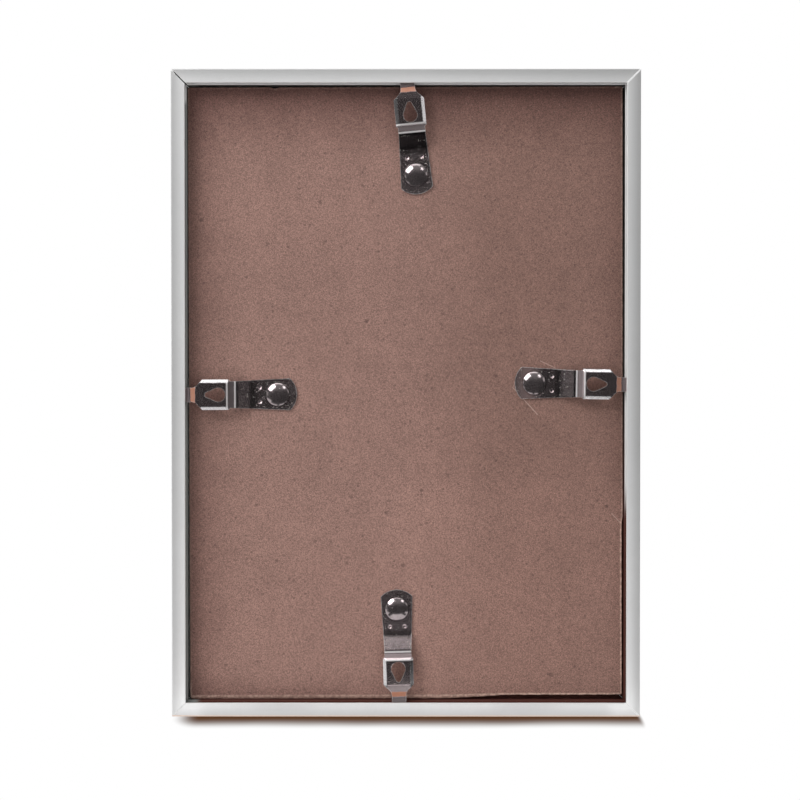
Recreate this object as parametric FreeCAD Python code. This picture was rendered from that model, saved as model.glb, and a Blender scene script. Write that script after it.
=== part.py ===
import FreeCAD, Part
import math
import os

from FreeCAD import Vector

# Clip frame for an A4 sheet: four mitred aluminium rails, a pack of glass, insert and
# hardboard, and four turning clips that hook under the rails' rear lip.
# Sizes are in millimetres and angles in degrees.
# +Z is up, +Y points out of the back, and +X is on the left for someone looking at the back.
# Left and right are named as that person sees them. The origin is the centre of the outer box.

# Sheet size, and the pack that lies in the rails
pane_width = 210.0
pane_height = 297.0
pane_thickness = 2.0
pane_arris = 0.25
pane_gap = 1.9
insert_thickness = 0.3
insert_trim = 0.25
board_thickness = 2.5
board_trim = 0.2
board_corner_radius = 1.0

# Where the board lies: below the rear plane, slipped upwards and turned a little
board_recess = 6.8
board_lift = 0.55
board_turn_deg = 0.15

# Rail section
outer_wall = 1.2
web_reach = 7.3
web_thickness = 1.0
shelf_proud = 0.4
shelf_thickness = 1.0
slot_height = 2.0
lip_thickness = 1.3
face_thickness = 1.4
face_overlap = 2.8
outer_edge_radius = 0.5
lip_edge_radius = 0.3
section_root_radius = 0.25

# Mitre joints, as the gap along each rail; one corner stands open
mitre_gap = 0.06
open_mitre_gap = 0.28

# Corner keys inside the rails
key_leg = 27.0
key_clearance = 0.1
key_tip_chamfer = 1.2
key_barb_depth = 0.5
key_barb_pitch = 4.0
key_barb_count = 4

# Turning clip: sheet, and its lengths along the middle line from the rivet outwards
clip_sheet = 0.5
clip_lift = 0.35
clip_back = 9.5
clip_back_arc_radius = 10.8
clip_back_corner_radius = 0.8
base_run = 13.0
ramp_run = 7.3
neck_run = 3.0
bevel_run = 1.0
panel_run = 12.0
crest_run = 3.8
slope_run = 2.1
tongue_clear = 2.3
tongue_hook = 3.2
shoulder_run = 3.6

# Turning clip: half widths
base_half = 7.5
neck_half = 6.55
flange_half = 7.4
panel_half = 5.65
tongue_half = 3.45

# Turning clip: heights and bends
plateau_sink = 0.3
flange_drop = 1.0
crest_drop = 0.35
tongue_lip_clearance = 0.1
ramp_bend_radius = 1.6
crown_bend_radius = 0.9
panel_edge_radius = 0.45
shoulder_radius = 2.2
flange_corner_radius = 0.5
tongue_tip_radius = 0.9
neck_step_run = 0.7

# Teardrop hanging hole in the clip
hole_start = 25.2
hole_length = 10.0
hole_wide_radius = 3.45
hole_narrow_radius = 1.3

# Two dimples that the clip slides on
dimple_run = 8.7
dimple_half_spacing = 3.55
dimple_radius = 1.9
dimple_sheet = 0.42
dimple_clearance = 0.06

# Rivet and its washer
head_radius = 5.65
head_height = 2.3
head_rim = 0.35
head_play = 0.05
shank_radius = 2.4
shank_clearance = 0.04
rivet_bore_radius = 1.5
rivet_bore_depth = 1.6
tail_radius = 3.4
tail_thickness = 0.45
tail_edge_radius = 0.2
tail_gap = 0.15
washer_radius = 4.8
washer_thickness = 0.5
washer_fit = 0.2
rivet_board_clearance = 0.03

# How each clip sits on the board: slid along its side, and turned about its rivet
top_clip_slide = -5.2
left_clip_slide = -0.8
right_clip_slide = 4.4
bottom_clip_slide = 4.7
top_clip_turn_deg = 5.5
left_clip_turn_deg = 0.3
right_clip_turn_deg = -0.9
bottom_clip_turn_deg = 1.5

# Overrun of cutting shapes past what they cut
overrun = 2.0

# Sizes worked out from the ones above
lip_width = web_reach - shelf_proud
face_width = web_reach + pane_gap + face_overlap
rail_depth = board_recess + board_thickness + insert_thickness + pane_thickness + face_thickness
frame_width = pane_width + 2 * (pane_gap + web_reach)
frame_height = pane_height + 2 * (pane_gap + web_reach)
rear_plane = rail_depth / 2
board_plane = rear_plane - board_recess
board_width = pane_width - 2 * board_trim
board_height = pane_height - 2 * board_trim

base_top = clip_lift + clip_sheet
plateau_top = board_recess - plateau_sink
neck_top = plateau_top - flange_drop
crest_top = plateau_top - crest_drop
tongue_top = board_recess - lip_thickness - tongue_lip_clearance

ramp_start = base_run
ramp_end = ramp_start + ramp_run
neck_end = ramp_end + neck_run
panel_start = neck_end + bevel_run
panel_end = panel_start + panel_run
crest_end = panel_end + crest_run
slope_end = crest_end + slope_run
rivet_to_lip = slope_end + tongue_clear
tongue_tip = rivet_to_lip + tongue_hook
rivet_inset = rivet_to_lip - (shelf_proud + pane_gap + board_trim)

counterbore_depth = washer_thickness + tail_thickness + tail_gap
washer_seat = board_thickness - counterbore_depth


# Shapes that several pieces use


def rounded_wire(corners, place):
    """Closed wire through corners (a, b, radius), set in space by place(a, b)."""
    stops = []
    for index, (a, b, radius) in enumerate(corners):
        here = Vector(a, b, 0)
        before = Vector(*corners[index - 1][:2], 0)
        after = Vector(*corners[(index + 1) % len(corners)][:2], 0)
        if radius == 0:
            stops.append((here, None, here))
            continue
        back = (before - here).normalize()
        ahead = (after - here).normalize()
        half_angle = back.getAngle(ahead) / 2
        reach = radius / math.tan(half_angle)
        bisector = (back + ahead).normalize()
        middle = here + bisector * (radius / math.sin(half_angle) - radius)
        stops.append((here + back * reach, middle, here + ahead * reach))
    edges = []
    for index, (start, middle, finish) in enumerate(stops):
        left_off = stops[index - 1][2]
        if not left_off.isEqual(start, Part.Precision.confusion()):
            edges.append(Part.makeLine(place(left_off.x, left_off.y), place(start.x, start.y)))
        if middle is not None:
            arc = Part.Arc(
                place(start.x, start.y),
                place(middle.x, middle.y),
                place(finish.x, finish.y),
            )
            edges.append(arc.toShape())
    return Part.Wire(Part.__sortEdges__(edges))


def plan_prism(wire_corners, low, high):
    """Prism over an outline drawn in x and z, between two heights in y."""
    wire = rounded_wire(wire_corners, lambda x, z: Vector(x, low, z))
    return Part.Face(wire).extrude(Vector(0, high - low, 0))


def turned(shape, degrees):
    """Copy of a shape turned about the y axis through the origin."""
    copy = shape.copy()
    copy.rotate(Vector(0, 0, 0), Vector(0, 1, 0), degrees)
    return copy


def moved(shape, x, y, z):
    """Copy of a shape moved by x, y and z."""
    copy = shape.copy()
    copy.translate(Vector(x, y, z))
    return copy


def round_bar(radius, low, high):
    """Cylinder about the y axis between two heights."""
    return Part.makeCylinder(radius, high - low, Vector(0, low, 0), Vector(0, 1, 0))


# Rails


def rail_section_face(at_x):
    """Section of a rail at one x, with the rail's outer face at z = 0 and the rear up in y."""
    lip_under = rear_plane - lip_thickness
    shelf_over = lip_under - slot_height
    shelf_under = shelf_over - shelf_thickness
    face_inner = -rear_plane + face_thickness

    def place(inward, y):
        return Vector(at_x, y, -inward)

    outline = [
        (0, rear_plane, outer_edge_radius),
        (lip_width, rear_plane, lip_edge_radius),
        (lip_width, lip_under, lip_edge_radius),
        (outer_wall, lip_under, section_root_radius),
        (outer_wall, shelf_over, section_root_radius),
        (web_reach, shelf_over, lip_edge_radius),
        (web_reach, face_inner, section_root_radius),
        (face_width, face_inner, lip_edge_radius),
        (face_width, -rear_plane, outer_edge_radius),
        (0, -rear_plane, outer_edge_radius),
    ]
    chamber = [
        (outer_wall, shelf_under, section_root_radius),
        (web_reach - web_thickness, shelf_under, section_root_radius),
        (web_reach - web_thickness, face_inner, section_root_radius),
        (outer_wall, face_inner, section_root_radius),
    ]
    face = Part.Face(rounded_wire(outline, place))
    return face.cut(Part.Face(rounded_wire(chamber, place)))


def make_rail(length, half_span, gap_low, gap_high):
    """Rail along x with mitred ends, its outer face at z = half_span."""
    bar = rail_section_face(-length / 2).extrude(Vector(length, 0, 0))
    low_end = -length / 2 + gap_low
    high_end = length / 2 - gap_high
    reach = face_width + overrun
    mitres = [
        (low_end - overrun, overrun, 0),
        (high_end + overrun, overrun, 0),
        (high_end - reach, -reach, 0),
        (low_end + reach, -reach, 0),
    ]
    cutter = plan_prism(mitres, -rear_plane - overrun, rear_plane + overrun)
    return moved(bar.common(cutter), 0, 0, half_span)


def make_rails():
    """The four rails; the corner between the top and left rails stands open."""
    across = frame_height / 2
    aside = frame_width / 2
    top = make_rail(frame_width, across, mitre_gap, open_mitre_gap)
    left = make_rail(frame_height, aside, open_mitre_gap, mitre_gap)
    bottom = make_rail(frame_width, across, mitre_gap, mitre_gap)
    right = make_rail(frame_height, aside, mitre_gap, mitre_gap)
    return {
        "top_rail": top,
        "left_rail": turned(left, 90),
        "bottom_rail": turned(bottom, 180),
        "right_rail": turned(right, 270),
    }


# Corner keys


def make_corner_key():
    """Key with its outer corner at the origin and its legs along -x and -z."""
    width = web_reach - web_thickness - outer_wall - 2 * key_clearance
    high = rear_plane - lip_thickness - slot_height - shelf_thickness - key_clearance
    low = -rear_plane + face_thickness + key_clearance
    outline = [
        (0, 0, key_tip_chamfer),
        (-key_leg + key_tip_chamfer, 0, 0),
        (-key_leg, -key_tip_chamfer, 0),
        (-key_leg, -width + key_tip_chamfer, 0),
        (-key_leg + key_tip_chamfer, -width, 0),
        (-width, -width, 0),
        (-width, -key_leg + key_tip_chamfer, 0),
        (-width + key_tip_chamfer, -key_leg, 0),
        (-key_tip_chamfer, -key_leg, 0),
        (0, -key_leg + key_tip_chamfer, 0),
    ]
    key = plan_prism(outline, low, high)
    for step in range(key_barb_count):
        along = -key_leg + 2 * key_tip_chamfer + step * key_barb_pitch
        notch = [
            (along, -width + key_barb_depth, 0),
            (along, -width - key_barb_depth, 0),
            (along + 3 * key_barb_depth, -width - key_barb_depth, 0),
        ]
        mirrored = [(z, x, radius) for x, z, radius in notch]
        key = key.cut(plan_prism(notch, low - overrun, high + overrun))
        key = key.cut(plan_prism(mirrored, low - overrun, high + overrun))
    return key


def make_corner_keys():
    """One key in each corner, inside the rails' chambers."""
    inset = outer_wall + key_clearance
    x = frame_width / 2 - inset
    z = frame_height / 2 - inset
    key = make_corner_key()
    return {
        "corner_key_top_left": moved(key, x, 0, z),
        "corner_key_bottom_left": moved(turned(key, 90), x, 0, -z),
        "corner_key_bottom_right": moved(turned(key, 180), -x, 0, -z),
        "corner_key_top_right": moved(turned(key, 270), -x, 0, z),
    }


# Pack of glass, insert and board


def sheet_block(width, height, low, thickness, corner_radius):
    """Flat sheet centred on the y axis."""
    half_width = width / 2
    half_height = height / 2
    corners = [
        (-half_width, -half_height, corner_radius),
        (half_width, -half_height, corner_radius),
        (half_width, half_height, corner_radius),
        (-half_width, half_height, corner_radius),
    ]
    return plan_prism(corners, low, low + thickness)


def make_glass_pane():
    """Glass with its sharp edges taken off."""
    low = -rear_plane + face_thickness
    pane = sheet_block(pane_width, pane_height, low, pane_thickness, 0)
    return pane.makeChamfer(pane_arris, pane.Edges)


def make_insert_sheet():
    """Paper insert between the glass and the board."""
    low = -rear_plane + face_thickness + pane_thickness
    width = pane_width - 2 * insert_trim
    height = pane_height - 2 * insert_trim
    return sheet_block(width, height, low, insert_thickness, 0)


def on_board(x, z):
    """Place in the frame of a point that is given on the straight, centred board."""
    angle = math.radians(board_turn_deg)
    turned_x = x * math.cos(angle) + z * math.sin(angle)
    turned_z = z * math.cos(angle) - x * math.sin(angle)
    return turned_x, turned_z + board_lift


def clip_places():
    """Name, rivet place on the straight board, outward direction and turn of each clip."""
    across = board_height / 2 - rivet_inset
    aside = board_width / 2 - rivet_inset
    return [
        ("top", top_clip_slide, across, -90, top_clip_turn_deg),
        ("left", aside, left_clip_slide, 0, left_clip_turn_deg),
        ("right", -aside, right_clip_slide, 180, right_clip_turn_deg),
        ("bottom", bottom_clip_slide, -across, 90, bottom_clip_turn_deg),
    ]


def make_backing_board():
    """Hardboard back with a hole and a front counterbore for each rivet."""
    low = board_plane - board_thickness
    board = sheet_block(board_width, board_height, low, board_thickness, board_corner_radius)
    for _, x, z, _, _ in clip_places():
        hole = round_bar(shank_radius + rivet_board_clearance, low - overrun, board_plane + overrun)
        counterbore = round_bar(washer_radius + washer_fit, low - overrun, board_plane - washer_seat)
        board = board.cut(moved(hole, x, 0, z))
        board = board.cut(moved(counterbore, x, 0, z))
    return moved(turned(board, board_turn_deg), 0, 0, board_lift)


# Turning clip, drawn with its rivet on the y axis, its tongue along +x and the board at y = 0


def pressed_block(margin):
    """Solid under the clip's upper surface, wider than the clip by a margin."""
    depth = plateau_top + margin
    path = [
        (-clip_back - margin, -depth, 0),
        (-clip_back - margin, base_top, 0),
        (ramp_start, base_top, ramp_bend_radius),
        (ramp_end, neck_top, crown_bend_radius),
        (neck_end, neck_top, panel_edge_radius),
        (panel_start, plateau_top, panel_edge_radius),
        (panel_end, plateau_top, ramp_bend_radius),
        (crest_end, crest_top, ramp_bend_radius),
        (slope_end, tongue_top, ramp_bend_radius),
        (tongue_tip + margin, tongue_top, 0),
        (tongue_tip + margin, -depth, 0),
    ]
    half = base_half + margin
    wire = rounded_wire(path, lambda x, y: Vector(x, y, -half))
    long_form = Part.Face(wire).extrude(Vector(0, 0, 2 * half))
    fall = flange_drop / (flange_half - panel_half)
    side = half + margin
    eaves = plateau_top - (side - panel_half) * fall
    roof = [
        (-side, -depth - margin, 0),
        (-side, eaves, 0),
        (-panel_half, plateau_top, panel_edge_radius),
        (panel_half, plateau_top, panel_edge_radius),
        (side, eaves, 0),
        (side, -depth - margin, 0),
    ]
    back = -clip_back - 2 * margin
    wire = rounded_wire(roof, lambda z, y: Vector(back, y, z))
    cross_form = Part.Face(wire).extrude(Vector(tongue_tip + 2 * margin - back, 0, 0))
    return long_form.common(cross_form)


def clip_outline():
    """Outline of the clip in x and z, tapering to the neck, with its rear end still square."""
    back = clip_back + overrun
    back_half = base_half + back * (base_half - neck_half) / ramp_end
    side = [
        (-back, back_half, 0),
        (ramp_end, neck_half, 0),
        (neck_end - neck_step_run / 2, neck_half, 0),
        (neck_end + neck_step_run / 2, flange_half, flange_corner_radius),
        (crest_end - shoulder_run, flange_half, flange_corner_radius),
        (crest_end, tongue_half, shoulder_radius),
        (tongue_tip, tongue_half, tongue_tip_radius),
    ]
    mirrored = [(x, -z, radius) for x, z, radius in reversed(side)]
    return side + mirrored


def round_rear_end(clip):
    """Trim the rear end to its arc and break the two corners that this leaves."""
    reach = clip_back + overrun
    half = base_half + 2 * overrun
    height = base_top + 2 * overrun
    offcut = Part.makeBox(reach, height, 2 * half, Vector(-reach, -overrun, -half))
    keep = round_bar(clip_back_arc_radius, -2 * overrun, height)
    clip = clip.cut(offcut.cut(moved(keep, clip_back_arc_radius - clip_back, 0, 0)))
    corners = []
    for edge in clip.Edges:
        behind = edge.BoundBox.XMax < 0
        upright = edge.BoundBox.XLength + edge.BoundBox.ZLength < clip_sheet / 2
        if behind and upright:
            corners.append(edge)
    return clip.makeFillet(clip_back_corner_radius, corners)


def teardrop_prism(low, high):
    """Prism of the hanging hole: a wide circle and a narrow one with their common tangents."""
    wide_x = hole_start + hole_wide_radius
    narrow_x = hole_start + hole_length - hole_narrow_radius
    lean = math.acos((hole_wide_radius - hole_narrow_radius) / (narrow_x - wide_x))
    wide_touch = (wide_x + hole_wide_radius * math.cos(lean), hole_wide_radius * math.sin(lean))
    narrow_touch = (narrow_x + hole_narrow_radius * math.cos(lean), hole_narrow_radius * math.sin(lean))
    edges = [
        Part.Arc(
            Vector(wide_touch[0], low, wide_touch[1]),
            Vector(hole_start, low, 0),
            Vector(wide_touch[0], low, -wide_touch[1]),
        ).toShape(),
        Part.makeLine(
            Vector(wide_touch[0], low, -wide_touch[1]),
            Vector(narrow_touch[0], low, -narrow_touch[1]),
        ),
        Part.Arc(
            Vector(narrow_touch[0], low, -narrow_touch[1]),
            Vector(hole_start + hole_length, low, 0),
            Vector(narrow_touch[0], low, narrow_touch[1]),
        ).toShape(),
        Part.makeLine(
            Vector(narrow_touch[0], low, narrow_touch[1]),
            Vector(wide_touch[0], low, wide_touch[1]),
        ),
    ]
    return Part.Face(Part.Wire(edges)).extrude(Vector(0, high - low, 0))


def add_dimples(clip):
    """Press the two dimples through the base, down to just above the board."""
    centre_y = dimple_clearance + dimple_radius
    for side in (-1, 1):
        centre = Vector(dimple_run, centre_y, side * dimple_half_spacing)
        cap_half = dimple_radius + overrun
        band = Part.makeBox(
            2 * cap_half,
            clip_lift + clip_sheet / 2,
            2 * cap_half,
            Vector(centre.x - cap_half, 0, centre.z - cap_half),
        )
        bump = Part.makeSphere(dimple_radius, centre).common(band)
        hollow = Part.makeSphere(dimple_radius - dimple_sheet, centre)
        clip = clip.fuse(bump).cut(hollow)
    return clip


def make_clip():
    """One turning clip as pressed from sheet."""
    below = moved(pressed_block(2 * overrun), 0, -clip_sheet, 0)
    sheet = pressed_block(overrun).cut(below)
    outline = plan_prism(clip_outline(), -overrun, plateau_top + overrun)
    clip = round_rear_end(sheet.common(outline))
    clip = clip.cut(round_bar(shank_radius + shank_clearance, -overrun, plateau_top))
    clip = clip.cut(teardrop_prism(0, plateau_top + overrun))
    return add_dimples(clip).removeSplitter()


# Rivet and washer, with the board's rear face at y = 0


def make_rivet():
    """Domed rivet with a hollow clinched tail."""
    seat = base_top + head_play
    crown = head_height - head_rim
    sphere_radius = (head_radius ** 2 + crown ** 2) / (2 * crown)
    half_arc = math.asin(head_radius / sphere_radius) / 2
    sphere_y = seat + head_height - sphere_radius
    tail_seat = -washer_seat - washer_thickness
    tail_end = tail_seat - tail_thickness
    top = Vector(0, seat + head_height, 0)
    shoulder = Vector(sphere_radius * math.sin(half_arc), sphere_y + sphere_radius * math.cos(half_arc), 0)
    rim = Vector(head_radius, seat + head_rim, 0)
    edges = [Part.Arc(top, shoulder, rim).toShape()]
    path = [
        (head_radius, seat + head_rim),
        (head_radius, seat),
        (shank_radius, seat),
        (shank_radius, tail_seat),
        (tail_radius, tail_seat),
        (tail_radius, tail_end + tail_edge_radius),
        (tail_radius - tail_edge_radius, tail_end),
        (rivet_bore_radius, tail_end),
        (rivet_bore_radius, tail_end + rivet_bore_depth),
        (0, tail_end + rivet_bore_depth),
        (0, seat + head_height),
    ]
    for (x0, y0), (x1, y1) in zip(path, path[1:]):
        edges.append(Part.makeLine(Vector(x0, y0, 0), Vector(x1, y1, 0)))
    return Part.Face(Part.Wire(edges)).revolve(Vector(0, 0, 0), Vector(0, 1, 0), 360)


def make_washer():
    """Flat washer seated in the board's counterbore."""
    high = -washer_seat
    low = high - washer_thickness
    bore = round_bar(shank_radius + rivet_board_clearance, low - overrun, high + overrun)
    return round_bar(washer_radius, low, high).cut(bore)


def make_fastenings():
    """Clip, rivet and washer at each of the four places on the board."""
    clip = make_clip()
    rivet = make_rivet()
    washer = make_washer()
    pieces = {}
    for name, x, z, outward, turn in clip_places():
        here_x, here_z = on_board(x, z)
        pieces["clip_" + name] = moved(turned(clip, outward + turn), here_x, board_plane, here_z)
        pieces["rivet_" + name] = moved(rivet, here_x, board_plane, here_z)
        pieces["washer_" + name] = moved(washer, here_x, board_plane, here_z)
    return pieces


def make_all():
    """Every node of the object by name."""
    nodes = {}
    nodes.update(make_rails())
    nodes.update(make_corner_keys())
    nodes["glass_pane"] = make_glass_pane()
    nodes["insert_sheet"] = make_insert_sheet()
    nodes["backing_board"] = make_backing_board()
    nodes.update(make_fastenings())
    return nodes


def main():
    """Write one STEP file for each node."""
    os.makedirs("parts", exist_ok=True)
    for name, shape in make_all().items():
        solid = shape.Solids[0] if len(shape.Solids) == 1 else shape
        solid.exportStep(os.path.join("parts", name + ".step"))
        print(name, len(shape.Solids), "solid, volume", round(solid.Volume, 1))


main()
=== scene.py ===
"""Looks of the clip frame: aluminium rails, hardboard back, pressed turning clips and rivets.

Everything is in metres in the frame of the construction: +Z is up, +Y points out of the back,
and left and right are as seen by someone who looks at the back.
"""

import logging
import math
from dataclasses import dataclass
from enum import Enum
from functools import cached_property, partial, reduce
from typing import Any, Sequence

import bmesh
import bpy
from mathutils import Matrix, Vector
from mathutils.geometry import delaunay_2d_cdt


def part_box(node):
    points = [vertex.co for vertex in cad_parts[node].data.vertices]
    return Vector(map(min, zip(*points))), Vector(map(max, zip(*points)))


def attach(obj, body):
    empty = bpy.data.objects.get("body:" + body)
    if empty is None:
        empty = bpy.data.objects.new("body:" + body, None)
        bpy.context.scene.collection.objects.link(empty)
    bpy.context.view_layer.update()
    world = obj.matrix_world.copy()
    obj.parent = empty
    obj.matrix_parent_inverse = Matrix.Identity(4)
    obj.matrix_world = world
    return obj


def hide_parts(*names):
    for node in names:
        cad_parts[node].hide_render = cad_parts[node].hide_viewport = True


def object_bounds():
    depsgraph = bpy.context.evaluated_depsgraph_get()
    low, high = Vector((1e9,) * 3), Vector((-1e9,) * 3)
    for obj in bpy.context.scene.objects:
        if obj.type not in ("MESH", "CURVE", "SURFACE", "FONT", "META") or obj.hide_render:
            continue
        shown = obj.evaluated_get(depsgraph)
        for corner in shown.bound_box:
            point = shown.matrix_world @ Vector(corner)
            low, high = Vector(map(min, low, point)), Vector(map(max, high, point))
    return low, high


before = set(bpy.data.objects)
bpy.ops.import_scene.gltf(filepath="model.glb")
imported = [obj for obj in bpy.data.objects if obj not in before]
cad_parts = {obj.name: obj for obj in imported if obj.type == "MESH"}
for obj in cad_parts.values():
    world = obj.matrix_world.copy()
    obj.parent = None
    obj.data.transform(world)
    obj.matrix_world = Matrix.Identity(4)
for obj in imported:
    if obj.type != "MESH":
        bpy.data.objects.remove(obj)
CAD_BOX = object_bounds()

MM = 0.001

Corner = tuple[float, float, float]
Colour = tuple[float, float, float]
Socket = bpy.types.NodeSocket
Material = bpy.types.Material
Mesh = bpy.types.Mesh
log = logging.getLogger("clip_frame")


class Body(Enum):
    """The construction's bodies that pieces ride on."""

    FRAME = "frame"
    CLIP_TOP = "turning_clip_top"
    CLIP_LEFT = "turning_clip_left"
    CLIP_RIGHT = "turning_clip_right"
    CLIP_BOTTOM = "turning_clip_bottom"


class Slot(Enum):
    """Names of the material slots, one for each kind of finish."""

    RAIL = "rail_aluminium"
    KEY = "key_casting"
    GLASS = "pane_glass"
    PAPER = "insert_paper"
    BOARD = "hardboard"
    CLIP = "clip_plating"
    RIVET = "rivet_plating"
    WASHER = "washer_steel"


class Side(Enum):
    """The four sides of the frame, as seen from the back."""

    TOP = "top"
    LEFT = "left"
    RIGHT = "right"
    BOTTOM = "bottom"


Places = dict[Side, tuple[Vector, float]]


# Outlines in the plane


def rounded_path(corners: Sequence[Corner], arc_step: float = math.radians(12)) -> list[Vector]:
    """Closed outline through corners, with an arc where a corner has a radius.

    Args:
        corners: Places and radii, in order round the outline.
        arc_step: Largest angle between two points of an arc.

    Returns:
        The outline's points.
    """
    points = []
    for index, (a, b, radius) in enumerate(corners):
        here = Vector((a, b))
        if radius == 0:
            points.append(here)
            continue
        back = (Vector(corners[index - 1][:2]) - here).normalized()
        ahead = (Vector(corners[(index + 1) % len(corners)][:2]) - here).normalized()
        half = back.angle(ahead) / 2
        centre = here + (back + ahead).normalized() * (radius / math.sin(half))
        start = here + back * (radius / math.tan(half)) - centre
        finish = here + ahead * (radius / math.tan(half)) - centre
        first = math.atan2(start.y, start.x)
        sweep = math.remainder(math.atan2(finish.y, finish.x) - first, math.tau)
        steps = max(2, math.ceil(abs(sweep) / arc_step))
        for step in range(steps + 1):
            angle = first + sweep * step / steps
            points.append(centre + Vector((math.cos(angle), math.sin(angle))) * radius)
    return points


def divided(points: Sequence[Vector], longest: float) -> list[Vector]:
    """Closed outline with its long edges divided.

    Args:
        points: The outline.
        longest: Longest edge to leave.

    Returns:
        The outline with points added on its straight runs.
    """
    made = []
    for index, start in enumerate(points):
        finish = points[(index + 1) % len(points)]
        count = max(1, math.ceil((finish - start).length / longest))
        for step in range(count):
            made.append(start.lerp(finish, step / count))
    return made


def circle(centre: Vector, radius: float, count: int) -> list[Vector]:
    """Points evenly round a circle."""
    turns = [math.tau * step / count for step in range(count)]
    return [centre + Vector((math.cos(turn), math.sin(turn))) * radius for turn in turns]


def arc(centre_x: float, radius: float, first: float, sweep: float, steps: int) -> list[Vector]:
    """Points evenly along an arc about a centre on the first axis, with both of its ends."""
    turns = [first + sweep * step / steps for step in range(steps + 1)]
    return [Vector((centre_x + radius * math.cos(turn), radius * math.sin(turn))) for turn in turns]


def offset(points: Sequence[Vector], inset: float) -> list[Vector]:
    """Closed counterclockwise outline moved inwards.

    Args:
        points: The outline.
        inset: Distance to move each edge.

    Returns:
        As many points as were given.
    """
    moved = []
    for index, here in enumerate(points):
        before = (here - points[index - 1]).normalized()
        after = (points[(index + 1) % len(points)] - here).normalized()
        inward = Vector((-before.y - after.y, before.x + after.x))
        inward.normalize()
        spread = max(0.5, -inward.x * before.y + inward.y * before.x)
        moved.append(here + inward * (inset / spread))
    return moved


def holds(outline: Sequence[Vector], point: Vector) -> bool:
    """Whether a point lies inside a closed outline.

    Args:
        outline: The outline.
        point: The point.

    Returns:
        True where it does.
    """
    inside = False
    for index, here in enumerate(outline):
        before = outline[index - 1]
        if (here.y > point.y) != (before.y > point.y):
            along = (point.y - here.y) / (before.y - here.y)
            if point.x < here.x + along * (before.x - here.x):
                inside = not inside
    return inside


def filled(outer: Sequence[Vector], holes: Sequence[Sequence[Vector]], inner: Sequence[Vector]) -> tuple:
    """Triangles between an outline and its holes.

    Args:
        outer: The outline.
        holes: Outlines to leave open.
        inner: More points to use inside.

    Returns:
        The points and the triangles, clockwise in the plane. The outline and the holes keep their order.
    """
    loops = [list(outer), *map(list, holes)]
    points = [point for loop in loops for point in loop]
    edges = []
    start = 0
    for loop in loops:
        count = len(loop)
        edges += [(start + step, start + (step + 1) % count) for step in range(count)]
        start += count
    points += inner
    made, _, faces, *_ = delaunay_2d_cdt(points, edges, [], 0, 1e-9)
    kept = []
    for a, b, c in faces:
        middle = (made[a] + made[b] + made[c]) / 3
        if holds(outer, middle) and not any(holds(hole, middle) for hole in holes):
            kept.append((a, c, b))
    return made, kept


# Meshes


def new_mesh(name: str, vertices: Sequence[Sequence[float]], faces: Sequence[Sequence[int]]) -> Mesh:
    """Mesh from vertices and faces, with faults in it mended.

    Args:
        name: Name of the mesh.
        vertices: Its vertices.
        faces: Numbers of the vertices of each face.

    Returns:
        The mesh.
    """
    mesh = bpy.data.meshes.new(name)
    mesh.from_pydata([tuple(v) for v in vertices], [], [tuple(f) for f in faces])
    mesh.validate()
    return mesh


def lathe(profile: Sequence[tuple[float, float]], count: int) -> tuple[list[Vector], list[tuple[int, ...]]]:
    """Closed surface turned about the y axis.

    Args:
        profile: Radius and height of each point, from the top of the axis to its foot.
        count: Number of steps round the axis.

    Returns:
        Vertices and outward faces.
    """
    vertices = []
    rings = []
    for radius, height in profile:
        if radius == 0:
            rings.append([len(vertices)] * count)
            vertices.append(Vector((0, height, 0)))
            continue
        rings.append(list(range(len(vertices), len(vertices) + count)))
        for point in circle(Vector((0, 0)), radius, count):
            vertices.append(Vector((point.x, height, point.y)))
    faces = []
    for upper, lower in zip(rings, rings[1:]):
        for step in range(count):
            after = (step + 1) % count
            faces.append(tuple(dict.fromkeys((upper[step], upper[after], lower[after], lower[step]))))
    return vertices, faces


def smoothed(mesh: Mesh, limit_deg: float) -> Mesh:
    """Shade a mesh smooth.

    Args:
        mesh: The mesh.
        limit_deg: Turn past which an edge stays sharp.

    Returns:
        The same mesh.
    """
    mesh.shade_smooth()
    mesh.set_sharp_from_angle(angle=math.radians(limit_deg))
    return mesh


def baked(holder: bpy.types.Object, name: str) -> Mesh:
    """Plain mesh of an object with its modifiers, which go with the object.

    Args:
        holder: The object to read and remove.
        name: Name of the new mesh.

    Returns:
        The finished mesh.
    """
    bpy.context.view_layer.update()
    graph = bpy.context.evaluated_depsgraph_get()
    shown = holder.evaluated_get(graph)
    mesh = bpy.data.meshes.new_from_object(shown, preserve_all_data_layers=True, depsgraph=graph)
    mesh.name = name
    bpy.data.objects.remove(holder)
    return mesh


def linked(name: str, data: bpy.types.ID) -> bpy.types.Object:
    """New object in the scene at the origin.

    Args:
        name: Its name.
        data: Its mesh, lamp or camera.

    Returns:
        The object.
    """
    made = bpy.data.objects.new(name, data)
    bpy.context.scene.collection.objects.link(made)
    return made


def add_piece(mesh: Mesh, body: Body, slot: Slot, *nodes: str) -> None:
    """Add a finished piece to the object, named as its mesh.

    Args:
        mesh: Its mesh, in place.
        body: The body that it rides on.
        slot: Not used.
        *nodes: Construction nodes that it stands for.
    """
    piece = linked(mesh.name, mesh)
    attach(piece, body.value)
    if nodes:
        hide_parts(*nodes)
    log.info("%s: %d faces, rides on %s", mesh.name, len(mesh.polygons), body.value)


# Node trees


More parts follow.
